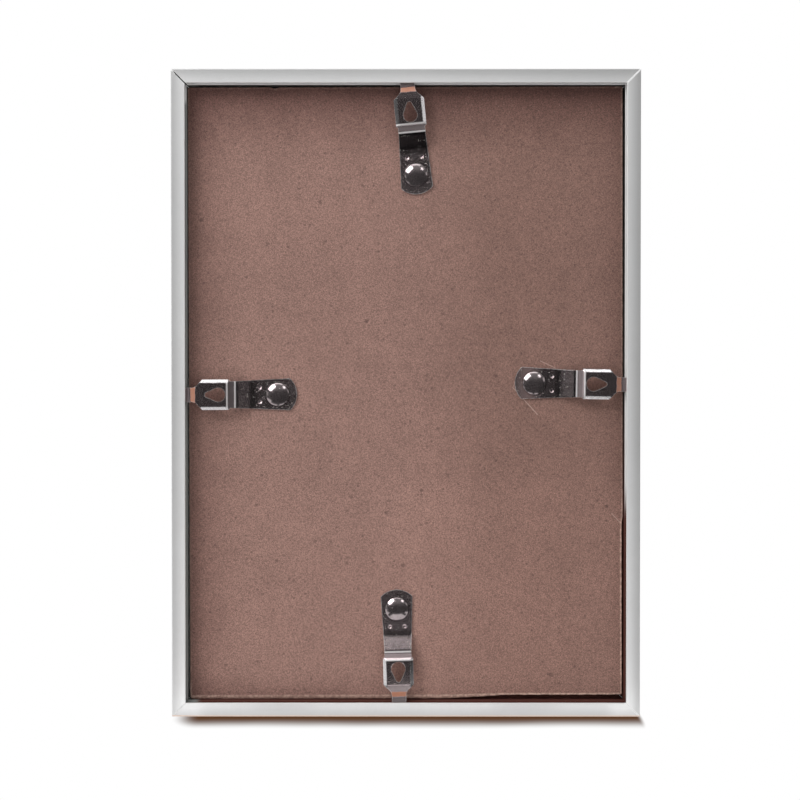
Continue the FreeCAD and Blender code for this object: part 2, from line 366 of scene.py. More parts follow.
class Wiring:
    """Short calls that add, fill and link nodes in one tree."""

    def __init__(self, tree: bpy.types.NodeTree) -> None:
        """Keep the tree."""
        self.tree = tree

    def add(self, kind: str, sockets: dict[Any, Any] | None = None, **options: Any) -> bpy.types.Node:
        """Add a node.

        Args:
            kind: The node's type.
            sockets: Values or links for its inputs, by name or number.
            **options: The node's own settings.

        Returns:
            The new node.
        """
        node = self.tree.nodes.new(kind)
        for name, value in options.items():
            setattr(node, name, value)
        for key, value in (sockets or {}).items():
            self.feed(node.inputs[key], value)
        return node

    def feed(self, socket: Socket, value: Any) -> None:
        """Link or set an input.

        Args:
            socket: The input.
            value: A socket, a node whose first output is meant, or a plain value.
        """
        if isinstance(value, bpy.types.Node):
            value = value.outputs[0]
        if isinstance(value, Socket):
            self.tree.links.new(value, socket)
        else:
            socket.default_value = value

    def declare(self, label: str, kind: str, default: Any = None, way: str = "INPUT") -> None:
        """Give a node group a named socket.

        Args:
            label: The socket's name.
            kind: Its kind, such as Float.
            default: Its value where nothing is linked.
            way: Whether it is an INPUT or an OUTPUT.
        """
        socket = self.tree.interface.new_socket(label, in_out=way, socket_type=f"NodeSocket{kind}")
        if default is not None:
            socket.default_value = default

    def math(self, operation: str, *values: Any) -> Socket:
        """Result of a Math node."""
        return self.add("ShaderNodeMath", dict(enumerate(values)), operation=operation).outputs[0]

    def plus(self, first: Any, second: Any) -> Socket:
        """Sum of two numbers."""
        return self.math("ADD", first, second)

    def minus(self, first: Any, second: Any) -> Socket:
        """First number less the second."""
        return self.math("SUBTRACT", first, second)

    def over(self, first: Any, second: Any) -> Socket:
        """First number divided by the second."""
        return self.math("DIVIDE", first, second)

    def size(self, value: Any) -> Socket:
        """A number without its sign."""
        return self.math("ABSOLUTE", value)

    def scaled(self, value: Any, scale: Any, base: Any) -> Socket:
        """A number times a scale, plus a base."""
        return self.math("MULTIPLY_ADD", value, scale, base)

    def times(self, *values: Any) -> Socket:
        """Product of numbers."""
        return reduce(partial(self.math, "MULTIPLY"), values)

    def most(self, *values: Any) -> Socket:
        """Largest of some numbers."""
        return reduce(partial(self.math, "MAXIMUM"), values)

    def varied(self, level: Any, *marks: tuple[Any, Any, Any]) -> Socket:
        """Level times each mark, which is given with its scale and base."""
        return self.times(level, *(self.scaled(*mark) for mark in marks))

    def summed(self, level: Any, *marks: tuple[Any, Any]) -> Socket:
        """Level plus each mark, which is given with its scale."""
        return reduce(lambda total, mark: self.scaled(*mark, total), marks, level)

    def vector(self, operation: str, *values: Any) -> Socket:
        """Result of a Vector Math node; a length or a product comes out as a number."""
        node = self.add("ShaderNodeVectorMath", dict(enumerate(values)), operation=operation)
        return node.outputs["Value" if operation in ("LENGTH", "DOT_PRODUCT", "DISTANCE") else "Vector"]

    def parts(self, vector: Any) -> tuple[Socket, ...]:
        """The three components of a vector."""
        return tuple(self.add("ShaderNodeSeparateXYZ", {0: vector}).outputs)

    def joined(self, x: Any, y: Any, z: Any) -> Socket:
        """A vector from three components."""
        return self.add("ShaderNodeCombineXYZ", {0: x, 1: y, 2: z}).outputs[0]

    def far(self, x: Any, y: Any) -> Socket:
        """Distance from the origin of a point in the plane."""
        return self.vector("LENGTH", self.joined(x, y, 0.0))

    def eased(self, value: Any, low: Any, high: Any, to_low: Any = 0.0, to_high: Any = 1.0) -> Socket:
        """Smooth step of a value between two limits, from one result to another."""
        sockets = {"Value": value, "From Min": low, "From Max": high, "To Min": to_low, "To Max": to_high}
        return self.add("ShaderNodeMapRange", sockets, interpolation_type="SMOOTHSTEP").outputs[0]

    def where(self, *steps: tuple[Any, ...]) -> Socket:
        """Product of smooth steps, each with its value, two limits in mm and, if not 0 and 1, its results."""
        masks = (self.eased(value, low * MM, high * MM, *ends) for value, low, high, *ends in steps)
        return self.times(*masks)

    def blend(self, share: Any, first: Any, second: Any) -> Socket:
        """Colour between two colours."""
        sockets = {0: share, 6: self.opaque(first), 7: self.opaque(second)}
        return self.add("ShaderNodeMix", sockets, data_type="RGBA").outputs[2]

    def layered(self, colour: Any, *layers: tuple[Any, Any]) -> Socket:
        """Colour with others laid over it in order, each given with its share first."""
        return reduce(lambda under, layer: self.blend(layer[0], under, layer[1]), layers, colour)

    def shaded(self, colour: Any, level: Any) -> Socket:
        """Colour or vector made larger or smaller by a number."""
        return self.add("ShaderNodeVectorMath", {0: colour, 3: level}, operation="SCALE").outputs[0]

    def noise(self, vector: Any, scale: Any, detail: float = 2.0, roughness: float = 0.5) -> Socket:
        """Noise between 0 and 1."""
        sockets = {"Vector": vector, "Scale": scale, "Detail": detail, "Roughness": roughness}
        return self.add("ShaderNodeTexNoise", sockets).outputs[0]

    @staticmethod
    def opaque(colour: Any) -> Any:
        """A colour with its alpha, where it is given as three numbers."""
        return (*colour, 1.0) if isinstance(colour, tuple) and len(colour) == 3 else colour


class Recipe(Wiring):
    """A Geometry Nodes tree with named inputs, which ends in real geometry and its material."""

    def __init__(self, name: str, inputs: dict[str, tuple[str, Any]]) -> None:
        """Start a tree.

        Args:
            name: The tree's name.
            inputs: Kind and default of each named input.
        """
        super().__init__(bpy.data.node_groups.new(name, "GeometryNodeTree"))
        self.defaults = {label: default for label, (_, default) in inputs.items() if default is not None}
        self.declare("Geometry", "Geometry")
        for label, (kind, default) in inputs.items():
            self.declare(label, kind, default)
        self.declare("Geometry", "Geometry", way="OUTPUT")
        self.given = self.add("NodeGroupInput").outputs

    def finish(self, geometry: Any, materials: Sequence[tuple[Any, Any]]) -> None:
        """End the tree.

        Args:
            geometry: What it makes.
            materials: Material and selection of each finish, in order.
        """
        geometry = self.add("GeometryNodeRealizeInstances", {0: geometry})
        for material, selection in materials:
            sockets = {"Geometry": geometry, "Selection": selection, "Material": material}
            geometry = self.add("GeometryNodeSetMaterial", sockets)
        self.add("NodeGroupOutput", {0: geometry})

    def apply(self, holder: bpy.types.Object, values: dict[str, Any]) -> None:
        """Put the tree on an object.

        Args:
            holder: The object.
            values: Values of the named inputs that have no default or another value.
        """
        values = self.defaults | values
        modifier = holder.modifiers.new(self.tree.name, "NODES")
        modifier.node_group = self.tree
        for item in self.tree.interface.items_tree:
            if item.in_out == "INPUT" and item.name in values:
                modifier[item.identifier] = values[item.name]


class Effect(Wiring):
    """A shader node group that several finishes share; its first input is the place."""

    def __init__(self, name: str, inputs: dict[str, Any], *outputs: str) -> None:
        """Start a group.

        Args:
            name: The group's name.
            inputs: Default of each input after the place; three numbers make it a vector.
            *outputs: Names of the values that it puts out.
        """
        super().__init__(bpy.data.node_groups.new(name, "ShaderNodeTree"))
        for label, default in {"Vector": (0.0, 0.0, 0.0), **inputs}.items():
            self.declare(label, "Vector" if isinstance(default, tuple) else "Float", default)
        for label in outputs:
            self.declare(label, "Float", way="OUTPUT")
        *self.given, _ = self.add("NodeGroupInput").outputs
        self.result = self.add("NodeGroupOutput")

    def give(self, *results: Any) -> "Effect":
        """Link the group's outputs.

        Args:
            *results: What each output gives, in order.

        Returns:
            The finished group.
        """
        for socket, value in zip(self.result.inputs, results):
            self.feed(socket, value)
        return self


class Effects:
    """The surface effects that finishes share, each built once, when it is first asked for."""

    @cached_property
    def grain(self) -> Effect:
        """Fine grain and slow clouds of a given size."""
        made = Effect("fine_grain", {"Size": MM, "Cloud Size": 20 * MM}, "Grain", "Clouds")
        vector, size, cloud_size = made.given
        grain = made.noise(vector, made.over(1.0, size), 3.0, 0.7)
        return made.give(grain, made.noise(vector, made.over(1.0, cloud_size), 3.0, 0.55))

    @cached_property
    def specks(self) -> Effect:
        """Scattered round specks, in a share of the cells of a pattern."""
        made = Effect("specks", {"Cell Size": 2 * MM, "Share": 0.3, "Radius Share": 0.25}, "Mask")
        vector, cell_size, share, radius_share = made.given
        scale = made.over(1.0, cell_size)
        ragged = made.noise(vector, made.times(scale, 3.0), 2.0)
        cells = made.add("ShaderNodeTexVoronoi", {"Vector": vector, "Scale": scale}).outputs
        chance, size, _ = made.parts(cells["Color"])
        chosen = made.math("LESS_THAN", chance, share)
        radius = made.times(radius_share, made.plus(size, 0.4))
        away = made.scaled(ragged, 0.16, made.minus(cells["Distance"], 0.08))
        spot = made.eased(away, made.times(radius, 0.5), radius, 1.0, 0.0)
        return made.give(made.times(chosen, spot))

    @cached_property
    def edge_wear(self) -> Effect:
        """Mask along edges, broken up by noise."""
        made = Effect("edge_wear", {"Reach": 0.3 * MM, "Breakup Size": 2 * MM}, "Mask")
        vector, reach, breakup_size = made.given
        soft = made.add("ShaderNodeBevel", {"Radius": reach}, samples=4).outputs[0]
        hard = made.add("ShaderNodeNewGeometry").outputs["Normal"]
        edge = made.eased(made.vector("DOT_PRODUCT", soft, hard), 0.995, 0.9)
        patches = made.noise(vector, made.over(1.0, breakup_size), 3.0)
        return made.give(made.times(edge, made.eased(patches, 0.3, 0.6, 0.35, 1.0)))

    @cached_property
    def dust(self) -> Effect:
        """Thin dust in patches, thicker on what faces up."""
        made = Effect("dust", {"Patch Size": 12 * MM, "Amount": 0.3}, "Mask")
        vector, patch_size, amount = made.given
        patches = made.eased(made.noise(vector, made.over(1.0, patch_size), 6.0, 0.7), 0.42, 0.72)
        up = made.parts(made.add("ShaderNodeNewGeometry").outputs["Normal"])[2]
        facing = made.eased(up, -0.2, 1.0, 0.5, 1.0)
        return made.give(made.times(patches, made.times(amount, facing)))

    @cached_property
    def hairlines(self) -> Effect:
        """Fine lines along the first component of a vector."""
        made = Effect("hairlines", {"Width": 0.2 * MM, "Length": 20 * MM}, "Lines")
        vector, width, length = made.given
        along, across, level = made.parts(vector)
        stretched = made.joined(made.over(along, length), made.over(across, width), made.over(level, width))
        return made.give(made.noise(stretched, 1.0, 3.0, 0.6))

    @cached_property
    def scored_line(self) -> Effect:
        """Mask of one scored line between two places, thin and uneven."""
        inputs = {"Start": (0.0, 0.0, 0.0), "Finish": (0.0, 0.0, MM), "Width": 0.3 * MM}
        made = Effect("scored_line", inputs, "Mask")
        vector, start, finish, width = made.given
        run = made.vector("SUBTRACT", finish, start)
        from_start = made.vector("SUBTRACT", vector, start)
        length = made.vector("LENGTH", run)
        share = made.over(made.vector("DOT_PRODUCT", from_start, run), made.times(length, length))
        held = made.add("ShaderNodeClamp", {0: share}).outputs[0]
        away = made.vector("DISTANCE", from_start, made.shaded(run, held))
        width = made.times(width, made.plus(made.noise(vector, 900.0, 2.0), 0.2))
        return made.give(made.eased(away, made.times(width, 0.4), width, 1.0, 0.0))


EFFECTS = Effects()


# Finishes


class Finish(Wiring):
    """A material that is being wired, with its Principled shader."""

    def __init__(self, name: str, **constants: Any) -> None:
        """Start a material.

        Args:
            name: The material's name.
            **constants: Values of the shader's own sockets, by name with _ for a space.
        """
        self.material = bpy.data.materials.new(name)
        self.material.use_nodes = True
        super().__init__(self.material.node_tree)
        self.tree.nodes.clear()
        self.shader = self.add("ShaderNodeBsdfPrincipled")
        self.set(**constants)
        self.output = self.add("ShaderNodeOutputMaterial", {0: self.shader})
        self.place = self.add("ShaderNodeTexCoord").outputs["Object"]

    def effect(self, effect: Effect, **values: Any) -> Any:
        """Place a shared effect.

        Args:
            effect: The effect.
            **values: Its inputs, by name with _ for a space; its place is the object's unless given.

        Returns:
            Its output, or a tuple of them where it has more than one.
        """
        node = self.add("ShaderNodeGroup", node_tree=effect.tree)
        for label, value in {"Vector": self.place, **values}.items():
            self.feed(node.inputs[label.replace("_", " ")], value)
        outputs = tuple(node.outputs)
        return outputs if len(outputs) > 1 else outputs[0]

    def attribute(self, name: str, output: str) -> Socket:
        """An output of a mesh attribute."""
        return self.add("ShaderNodeAttribute", attribute_name=name).outputs[output]

    def set(self, **values: Any) -> None:
        """Link or set the shader's inputs, by name with _ for a space."""
        for label, value in values.items():
            self.feed(self.shader.inputs[label.replace("_", " ")], self.opaque(value))

    def bump(self, height: Any, depth: float, strength: Any = 1.0) -> None:
        """Raise the surface by a height between 0 and 1.

        Args:
            height: The height's socket.
            depth: What a height of 1 stands for.
            strength: Share of the effect.
        """
        sockets = {"Strength": strength, "Distance": depth, "Height": height}
        self.set(Normal=self.add("ShaderNodeBump", sockets))


@dataclass(frozen=True)
class SatinAluminium:
    """Satin anodised rails: fine draw lines along the length, worn edges, and painted light, shade,
    highlights and reflections.
    """

    colour: Colour = (0.78, 0.78, 0.78)
    bare_metal_and_glint: Colour = (0.95, 0.95, 0.94)
    dusty: Colour = (0.52, 0.50, 0.48)
    recess: Colour = (0.092, 0.034, 0.027)
    dark_recess: Colour = (0.085, 0.082, 0.078)
    lit_recess_grey: Colour = (0.26, 0.27, 0.26)
    warm_foot_reflection: Colour = (0.85, 0.62, 0.48)
    metallic: float = 0.38
    roughness: float = 0.38
    outer_painted_shade: float = 0.76
    inner_painted_light: float = 1.14
    line_width: float = 0.12 * MM
    line_length: float = 60 * MM
    grain_size: float = 0.35 * MM
    lip_mm: float = 6.7
    recess_mm: float = 4.9
    shelf_mm: float = 2.95
    soft_mm: float = 0.3

    def make(self) -> Material:
        """Build the material.

        Returns:
            The material; it reads the rail's own UV map.
        """
        made = Finish("satin_aluminium")
        run = made.add("ShaderNodeUVMap", uv_map="rail").outputs[0]
        lines = made.effect(EFFECTS.hairlines, Vector=run, Width=self.line_width, Length=self.line_length)
        grain, clouds = made.effect(EFFECTS.grain, Size=self.grain_size, Cloud_Size=45 * MM)
        wear = made.effect(EFFECTS.edge_wear, Reach=0.35 * MM, Breakup_Size=3 * MM)
        dust = made.effect(EFFECTS.dust, Patch_Size=14 * MM, Amount=0.16)
        across = made.parts(run)[1]
        x, _, z = made.parts(made.place)
        # painted shade and light across the lip: darker at its outer edge, lighter at its inner edge
        level = made.where((across, 0, self.lip_mm, self.outer_painted_shade, self.inner_painted_light))
        level = made.varied(level, (lines, 0.10, 0.95), (grain, 0.10, 0.95), (clouds, 0.12, 0.94))
        # painted light and shade: lighter towards the bottom, most on the side rails, and darker towards the
        # upper right
        low = made.where((z, 20, -150))
        aside = made.where((made.size(x), 96, 104, 0.06, 0.25))
        right = made.times(made.where((x, 0, -110, 0.0, -0.12)), made.minus(1.0, low))
        level = made.times(level, made.plus(made.scaled(low, aside, 1.04), right))
        # painted highlights along the mitre joints: a light line at each, white at the right-hand ones
        mitre = made.minus(made.size(z), made.size(x))
        mitre = made.size(made.minus(mitre, CAD_BOX[1].z - CAD_BOX[1].x))
        mitre_glint = made.where((mitre, 0.30, 0.75, 1.0, 0.0), (x, -90, -95))
        recessed = self.recessed(made, across)
        # painted shade in the recess under the lip: dark grey, maroon towards the bottom as a painted
        # reflection of the board, and a lighter grey on the left where light reaches it
        hollow = made.layered(
            self.dark_recess,
            (made.where((z, 20, -70)), self.recess),
            (made.where((x, 100, 104)), self.lit_recess_grey),
        )
        colour = made.layered(
            made.shaded(self.colour, level),
            (wear, self.bare_metal_and_glint),
            (dust, self.dusty),
            # painted highlight along the lip's inner edge
            (made.where((across, self.lip_mm - 0.55, self.lip_mm - 0.25)), self.bare_metal_and_glint),
            (made.where((mitre, 0.10, 0.45, 0.85, 0.0)), self.bare_metal_and_glint),
            (mitre_glint, (1.0, 1.0, 1.0)),
            # painted warm reflection along the bottom rail's lower edge
            (made.where((z, -156.7, -157.3, 0.0, 0.7)), self.warm_foot_reflection),
            (recessed, hollow),
        )
        rough = made.summed(self.roughness - 0.06, (grain, 0.12), (dust, 0.5))
        metallic = made.scaled(made.most(recessed, mitre_glint), -self.metallic, self.metallic)
        made.set(Base_Color=colour, Roughness=rough, Metallic=metallic)
        made.set(Specular_IOR_Level=made.scaled(recessed, -0.42, 0.5))
        made.bump(made.plus(lines, grain), 0.012 * MM, 0.5)
        return made.material

    def recessed(self, made: Finish, across: Socket) -> Socket:
        """Mask of what lies in the shade under the rear lip, apart from the shelf where light reaches it.

        Args:
            made: The material.
            across: Distance from the rail's outer face.

        Returns:
            The mask.
        """
        x, depth, z = made.parts(made.place)
        lit_shelf = made.most(made.where((x, -100, -104), (z, -62, -40)), made.where((z, 140, 144)))
        shelf = made.where((depth, self.recess_mm, self.recess_mm - self.soft_mm))
        below = made.where((depth, self.shelf_mm, self.shelf_mm - self.soft_mm))
        inside = made.most(made.times(shelf, made.minus(1.0, lit_shelf)), below)
        return made.times(inside, made.where((depth, -5.6, -5.3), (across, 1.0, 1.1)))


@dataclass(frozen=True)
class Hardboard:
    """Reddish-brown pressed fibre board: speckled, pitted, with painted shade towards its edges and painted
    light towards the bottom.
    """

    colour: Colour = (0.280, 0.162, 0.133)
    red_side: Colour = (0.226, 0.127, 0.102)
    dark_fibre: Colour = (0.075, 0.042, 0.036)
    pale_fibre: Colour = (0.47, 0.33, 0.28)
    cut_edge: Colour = (0.96, 0.68, 0.56)
    shade_tint: Colour = (0.42, 0.32, 0.32)
    half_width: float = 105.8 * MM
    half_height: float = 149.2 * MM
    drift: float = 10 * MM

    def make(self, scores: Sequence[tuple[Vector, Vector, float]]) -> Material:
        """Build the material.

        Args:
            scores: Start, finish and width of each line scored into the board.

        Returns:
            The material; it reads the board's cut_edge attribute.
        """
        made = Finish("pressed_fibre", Metallic=0.0, Specular_IOR_Level=0.35)
        grain, clouds = made.effect(EFFECTS.grain, Size=0.46 * MM, Cloud_Size=34 * MM)
        broad_grain, broad_clouds = made.effect(EFFECTS.grain, Size=1.1 * MM, Cloud_Size=9 * MM)
        pits = made.effect(EFFECTS.specks, Cell_Size=2.6 * MM, Share=0.20, Radius_Share=0.24)
        large_pits = made.effect(EFFECTS.specks, Cell_Size=9 * MM, Share=0.16, Radius_Share=0.10)
        flecks = made.effect(EFFECTS.specks, Cell_Size=1.3 * MM, Share=0.22, Radius_Share=0.22)
        x, _, z = made.parts(made.place)
        low_right = made.where((z, -20, -70), (x, 30, -10))
        colour = made.blend(made.where((x, 15, -60)), self.colour, self.red_side)
        shaded_colour = made.vector("MULTIPLY", colour, self.shade_tint)
        # painted shade along the board's edges
        colour = made.blend(self.painted_edge_shade(made, clouds, low_right), colour, shaded_colour)
        # painted light: lighter towards the bottom, and more at the lower right
        paler = made.where((z, 40, -110, 1.0, 1.09))
        level = made.varied(
            made.scaled(clouds, 0.30, 0.86),
            (grain, 2.9, -0.45),
            (broad_grain, 0.36, 0.82),
            (broad_clouds, 0.22, 0.89),
            (low_right, 0.12, paler),
        )
        colour = made.layered(
            made.shaded(colour, level),
            (made.times(flecks, 0.20), self.pale_fibre),
            (made.times(pits, 0.40), self.dark_fibre),
            (made.times(large_pits, 0.5), self.dark_fibre),
        )
        for start, finish, width in scores:
            line = made.effect(EFFECTS.scored_line, Start=start, Finish=finish, Width=width)
            colour = made.blend(made.times(line, 0.75), colour, self.pale_fibre)
        # pale cut edge, partly a painted highlight
        colour = made.blend(self.cut_line(made), colour, self.cut_edge)
        made.set(Base_Color=colour, Roughness=made.scaled(grain, 0.3, 0.55))
        made.bump(made.summed(made.times(grain, 1.2), (pits, -1.2), (large_pits, -1.0)), 0.06 * MM, 0.8)
        return made.material

    def painted_edge_shade(self, made: Finish, clouds: Socket, low_right: Socket) -> Socket:
        """Mask of the painted shade along the board's edges.

        Args:
            made: The material.
            clouds: Noise that makes the stain's edge wander.
            low_right: Mask of the lower right part, where the edges get no painted shade.

        Returns:
            The mask.
        """
        x, _, z = made.parts(made.place)
        drift = made.scaled(clouds, self.drift, -self.drift / 2)
        whole = made.minus(1.0, low_right)
        from_top, from_left = made.minus(self.half_height, z), made.minus(self.half_width, x)
        sides = (
            (from_top, 42, 0.80, 1.0),
            (from_top, 14, 0.52, 1.0),
            (from_left, 28, 0.50, 1.0),
            (made.plus(self.half_width, x), 20, 0.25, whole),
            (made.plus(self.half_height, z), 14, 0.35, whole),
        )
        shade_mask = 0.0
        for gap, reach, strength, share in sides:
            near = made.times(made.where((made.plus(gap, drift), -4, reach, strength, 0.0)), share)
            shade_mask = made.minus(made.plus(shade_mask, near), made.times(shade_mask, near))
        return shade_mask

    @staticmethod
    def cut_line(made: Finish) -> Socket:
        """Mask of the pale cut edge, the fibres' own paler colour and a painted highlight where the edge
        faces the light, clearest at the lower right.

        Args:
            made: The material.

        Returns:
            The mask.
        """
        x, _, z = made.parts(made.place)
        ragged = made.eased(made.noise(made.place, 700.0, 3.0), 0.40, 0.62)
        cut = made.varied(made.attribute("cut_edge", "Fac"), (ragged, 0.55, 0.40))
        right = made.where((x, -100, -103), (z, -40, -70, 0.30, 1.0))
        lower = made.where((z, -140, -145), (x, 40, -60, 0.6, 1.0))
        other = made.most(made.where((x, 100, 103)), made.where((z, 145, 148)))
        return made.times(cut, made.most(right, lower, made.times(other, 0.14)))


@dataclass(frozen=True)
class FibreFinish:
    """Torn fibres on the board's cut edge, paler than its face."""

    colour: Colour = (0.48, 0.32, 0.27)

    def make(self) -> Material:
        """Build the material.

        Returns:
            The material.
        """
        made = Finish("torn_fibre", Metallic=0.0, Specular_IOR_Level=0.2)
        grain, clouds = made.effect(EFFECTS.grain, Size=0.8 * MM, Cloud_Size=6 * MM)
        made.set(Base_Color=made.shaded(self.colour, made.scaled(clouds, 0.9, 0.5)))
        made.set(Roughness=made.scaled(grain, 0.2, 0.75))
        return made.material


@dataclass(frozen=True)
class ClipPlating:
    """Bright plated sheet steel: grainy towards the rivet, with a warm band where it bends to the tongue."""

    colour: Colour = (0.76, 0.63, 0.64)
    band_reflection: Colour = (0.50, 0.205, 0.115)
    flange: Colour = (0.81, 0.775, 0.785)
    reflected_brown: Colour = (0.34, 0.175, 0.145)
    bend_glint_colour: Colour = (0.93, 0.90, 0.90)
    sparkling: Colour = (0.90, 0.87, 0.80)
    worn: Colour = (0.90, 0.86, 0.84)
    dusty: Colour = (0.5, 0.46, 0.42)
    roughness: float = 0.10
    rivet_rim_mm: tuple[float, float] = (5.5, 6.3)
    band_mm: tuple[float, float] = (39.9, 42.3)
    grainy_end_mm: float = 20.0
    bend_lines: tuple[float, float] = (20.5 * MM, 24.35 * MM)
    bend_width: float = 0.75 * MM
    neck_mm: tuple[float, float] = (20.9, 24.0)
    dimple_run: float = 8.7 * MM
    dimple_spacing: float = 3.55 * MM

    def make(self) -> Material:
        """Build the material.

        Returns:
            The material; it reads the clip's press attribute, the place on its flat blank.
        """
        made = Finish("bright_plating", Specular_IOR_Level=0.5)
        blank = made.attribute("press", "Vector")
        along, across, _ = made.parts(blank)
        x, _, z = made.parts(made.place)
        grain, clouds = made.effect(EFFECTS.grain, Size=0.55 * MM, Cloud_Size=5 * MM)
        lines = made.effect(EFFECTS.hairlines, Vector=blank, Width=0.18 * MM, Length=9 * MM)
        wear = made.effect(EFFECTS.edge_wear, Reach=0.45 * MM, Breakup_Size=1.5 * MM)
        dust = made.effect(EFFECTS.dust, Patch_Size=5 * MM, Amount=0.10)
        specks = made.effect(EFFECTS.specks, Cell_Size=0.9 * MM, Share=0.22, Radius_Share=0.3)
        edge = made.plus(along, made.scaled(made.noise(blank, 500.0, 2.0), 0.7 * MM, -0.35 * MM))
        start, end = self.band_mm
        band = made.where((edge, start - 0.25, start + 0.25), (edge, end - 0.15, end + 0.15, 1.0, 0.0))
        under_lip = made.where((edge, end, end + 0.6))
        grainy = made.where((along, self.grainy_end_mm - 1.5, self.grainy_end_mm, 1.0, 0.16))
        skin = made.varied(made.scaled(clouds, 0.24, 0.86), (lines, 0.16, 0.92))
        tone = self.dimpled(made, self.painted_shade_tone(made, skin, along, across), along, across)
        flange = made.where((made.size(across), 5.4, 5.9), (along, 23.8, 24.2))
        # painted glints on the grainy end's specks
        sparkle = made.times(specks, grainy, 0.55)
        colour = made.shaded(made.blend(flange, self.colour, self.flange), tone)
        colour = made.blend(sparkle, colour, self.sparkling)
        # painted light and shade on the neck, by the clip's place in the frame
        near, far = self.neck_mm
        neck = made.where((along, near, near + 0.5), (along, far - 0.4, far, 0.55, 0.0))
        colour = made.shaded(colour, made.scaled(neck, self.neck_tone(made), 1.0))
        # painted brown reflection, mostly on the right clip's tail
        brown_reflection_share = made.where((along, 6, -8), (x, -50, -65, 0.03, 0.76))
        # painted shade on the tongue under the rear lip
        colour = made.shaded(made.blend(brown_reflection_share, colour, self.reflected_brown), made.scaled(under_lip, -0.20, 1.0))
        # painted highlights along the bend lines
        bend_glint = 0.0
        for station in self.bend_lines:
            away = made.size(made.minus(along, station))
            bend_glint = made.most(bend_glint, made.eased(away, 0.0, self.bend_width, 1.0, 0.0))
        colour = made.layered(
            colour,
            # painted warm reflection on the band where the sheet bends to the tongue
            (made.times(band, made.scaled(clouds, 0.5, 0.62)), self.band_reflection),
            (wear, self.worn),
            (dust, self.dusty),
            (bend_glint, self.bend_glint_colour),
        )
        marks = ((grainy, 0.08), (made.most(band, under_lip), 0.34), (lines, 0.07), (dust, 0.6), (bend_glint, 0.30))
        matt = made.most(band, bend_glint, wear, neck, sparkle)
        made.set(Base_Color=colour, Roughness=made.summed(self.roughness, *marks))
        made.set(Metallic=made.summed(0.98, (matt, -0.5), (brown_reflection_share, -0.8)))
        made.bump(made.times(made.summed(grain, (specks, 0.6)), grainy), 0.20 * MM, 1.0)
        return made.material

    def painted_shade_tone(self, made: Finish, tone: Socket, along: Socket, across: Socket) -> Socket:
        """Paint shade on the bends, the ramp, the slope to the tongue and one flank, and a dark ring round
        the rivet's rim.

        Args:
            made: The material.
            tone: Tone of the flat sheet.
            along: Distance from the rivet on the blank.
            across: Distance from the blank's middle line.

        Returns:
            The shaded tone.
        """
        x, _, z = made.parts(made.place)
        bend = self.bend_lines[0]
        # painted shade, by place on the blank and by the clip's place in the frame
        tone = made.times(tone, made.eased(along, bend - 0.7 * MM, bend, 0.52, 1.0))
        by_place = made.plus(made.where((x, -70, 70, -0.72, 0.05)), made.where((z, 60, 80, 0.0, -0.4)))
        flank = made.where((across, -5.7, -6.1), (along, 24.6, 25.0), (made.size(z), 60, 70))
        tone = made.varied(
            tone,
            (made.where((along, 12.5, 13.5), (along, 20.3, 19.6)), by_place, 1.0),
            (made.where((along, 9.2, 11.4), (along, 15.0, 12.6)), -0.5, 1.0),
            (made.where((along, 36.4, 37.0), (z, -60, -80)), -0.58, 1.0),
            (flank, -0.62, 1.0),
        )
        return made.times(tone, made.where((made.far(along, across), *self.rivet_rim_mm, 0.35, 1.0)))

    def dimpled(self, made: Finish, tone: Socket, along: Socket, across: Socket) -> Socket:
        """Add painted highlight rings round the dimples and painted shade in their centres to the tone.

        Args:
            made: The material.
            tone: The tone without them.
            along: Distance from the rivet on the blank.
            across: Distance from the blank's middle line.

        Returns:
            The tone with them.
        """
        beside = made.minus(made.size(across), self.dimple_spacing)
        away = made.far(made.minus(along, self.dimple_run), beside)
        tone = made.scaled(made.where((away, 1.30, 1.00)), 0.45, tone)
        return made.times(tone, made.where((away, 0.30, 0.55, 0.30, 1.0)))

    @staticmethod
    def neck_tone(made: Finish) -> Socket:
        """How much painted light or shade the neck gets on each of the four clips.

        Args:
            made: The material.

        Returns:
            What the neck's mask is scaled by.
        """
        x, _, z = made.parts(made.place)
        left_right = made.plus(made.where((x, 60, 70, 0.0, -1.2)), made.where((x, -60, -70, 0.0, -0.3)))
        upright = made.plus(made.where((made.size(z), 60, 70, 0.0, 0.6)), made.where((z, 60, 70, 0.0, -1.4)))
        return made.plus(left_right, upright)


@dataclass(frozen=True)
class ShearedSteel:
    """Cut edge of the clip's sheet: bright where sheared, grey where torn."""

    colour: Colour = (0.92, 0.86, 0.84)
    torn: Colour = (0.62, 0.54, 0.51)

    def make(self) -> Material:
        """Build the material.

        Returns:
            The material.
        """
        made = Finish("sheared_steel", Metallic=0.25, Specular_IOR_Level=0.5)
        grain, clouds = made.effect(EFFECTS.grain, Size=0.12 * MM, Cloud_Size=1.4 * MM)
        made.set(Base_Color=made.blend(made.eased(clouds, 0.45, 0.65), self.colour, self.torn))
        made.set(Roughness=made.scaled(grain, 0.25, 0.25))
        made.bump(grain, 0.02 * MM, 0.5)
        return made.material


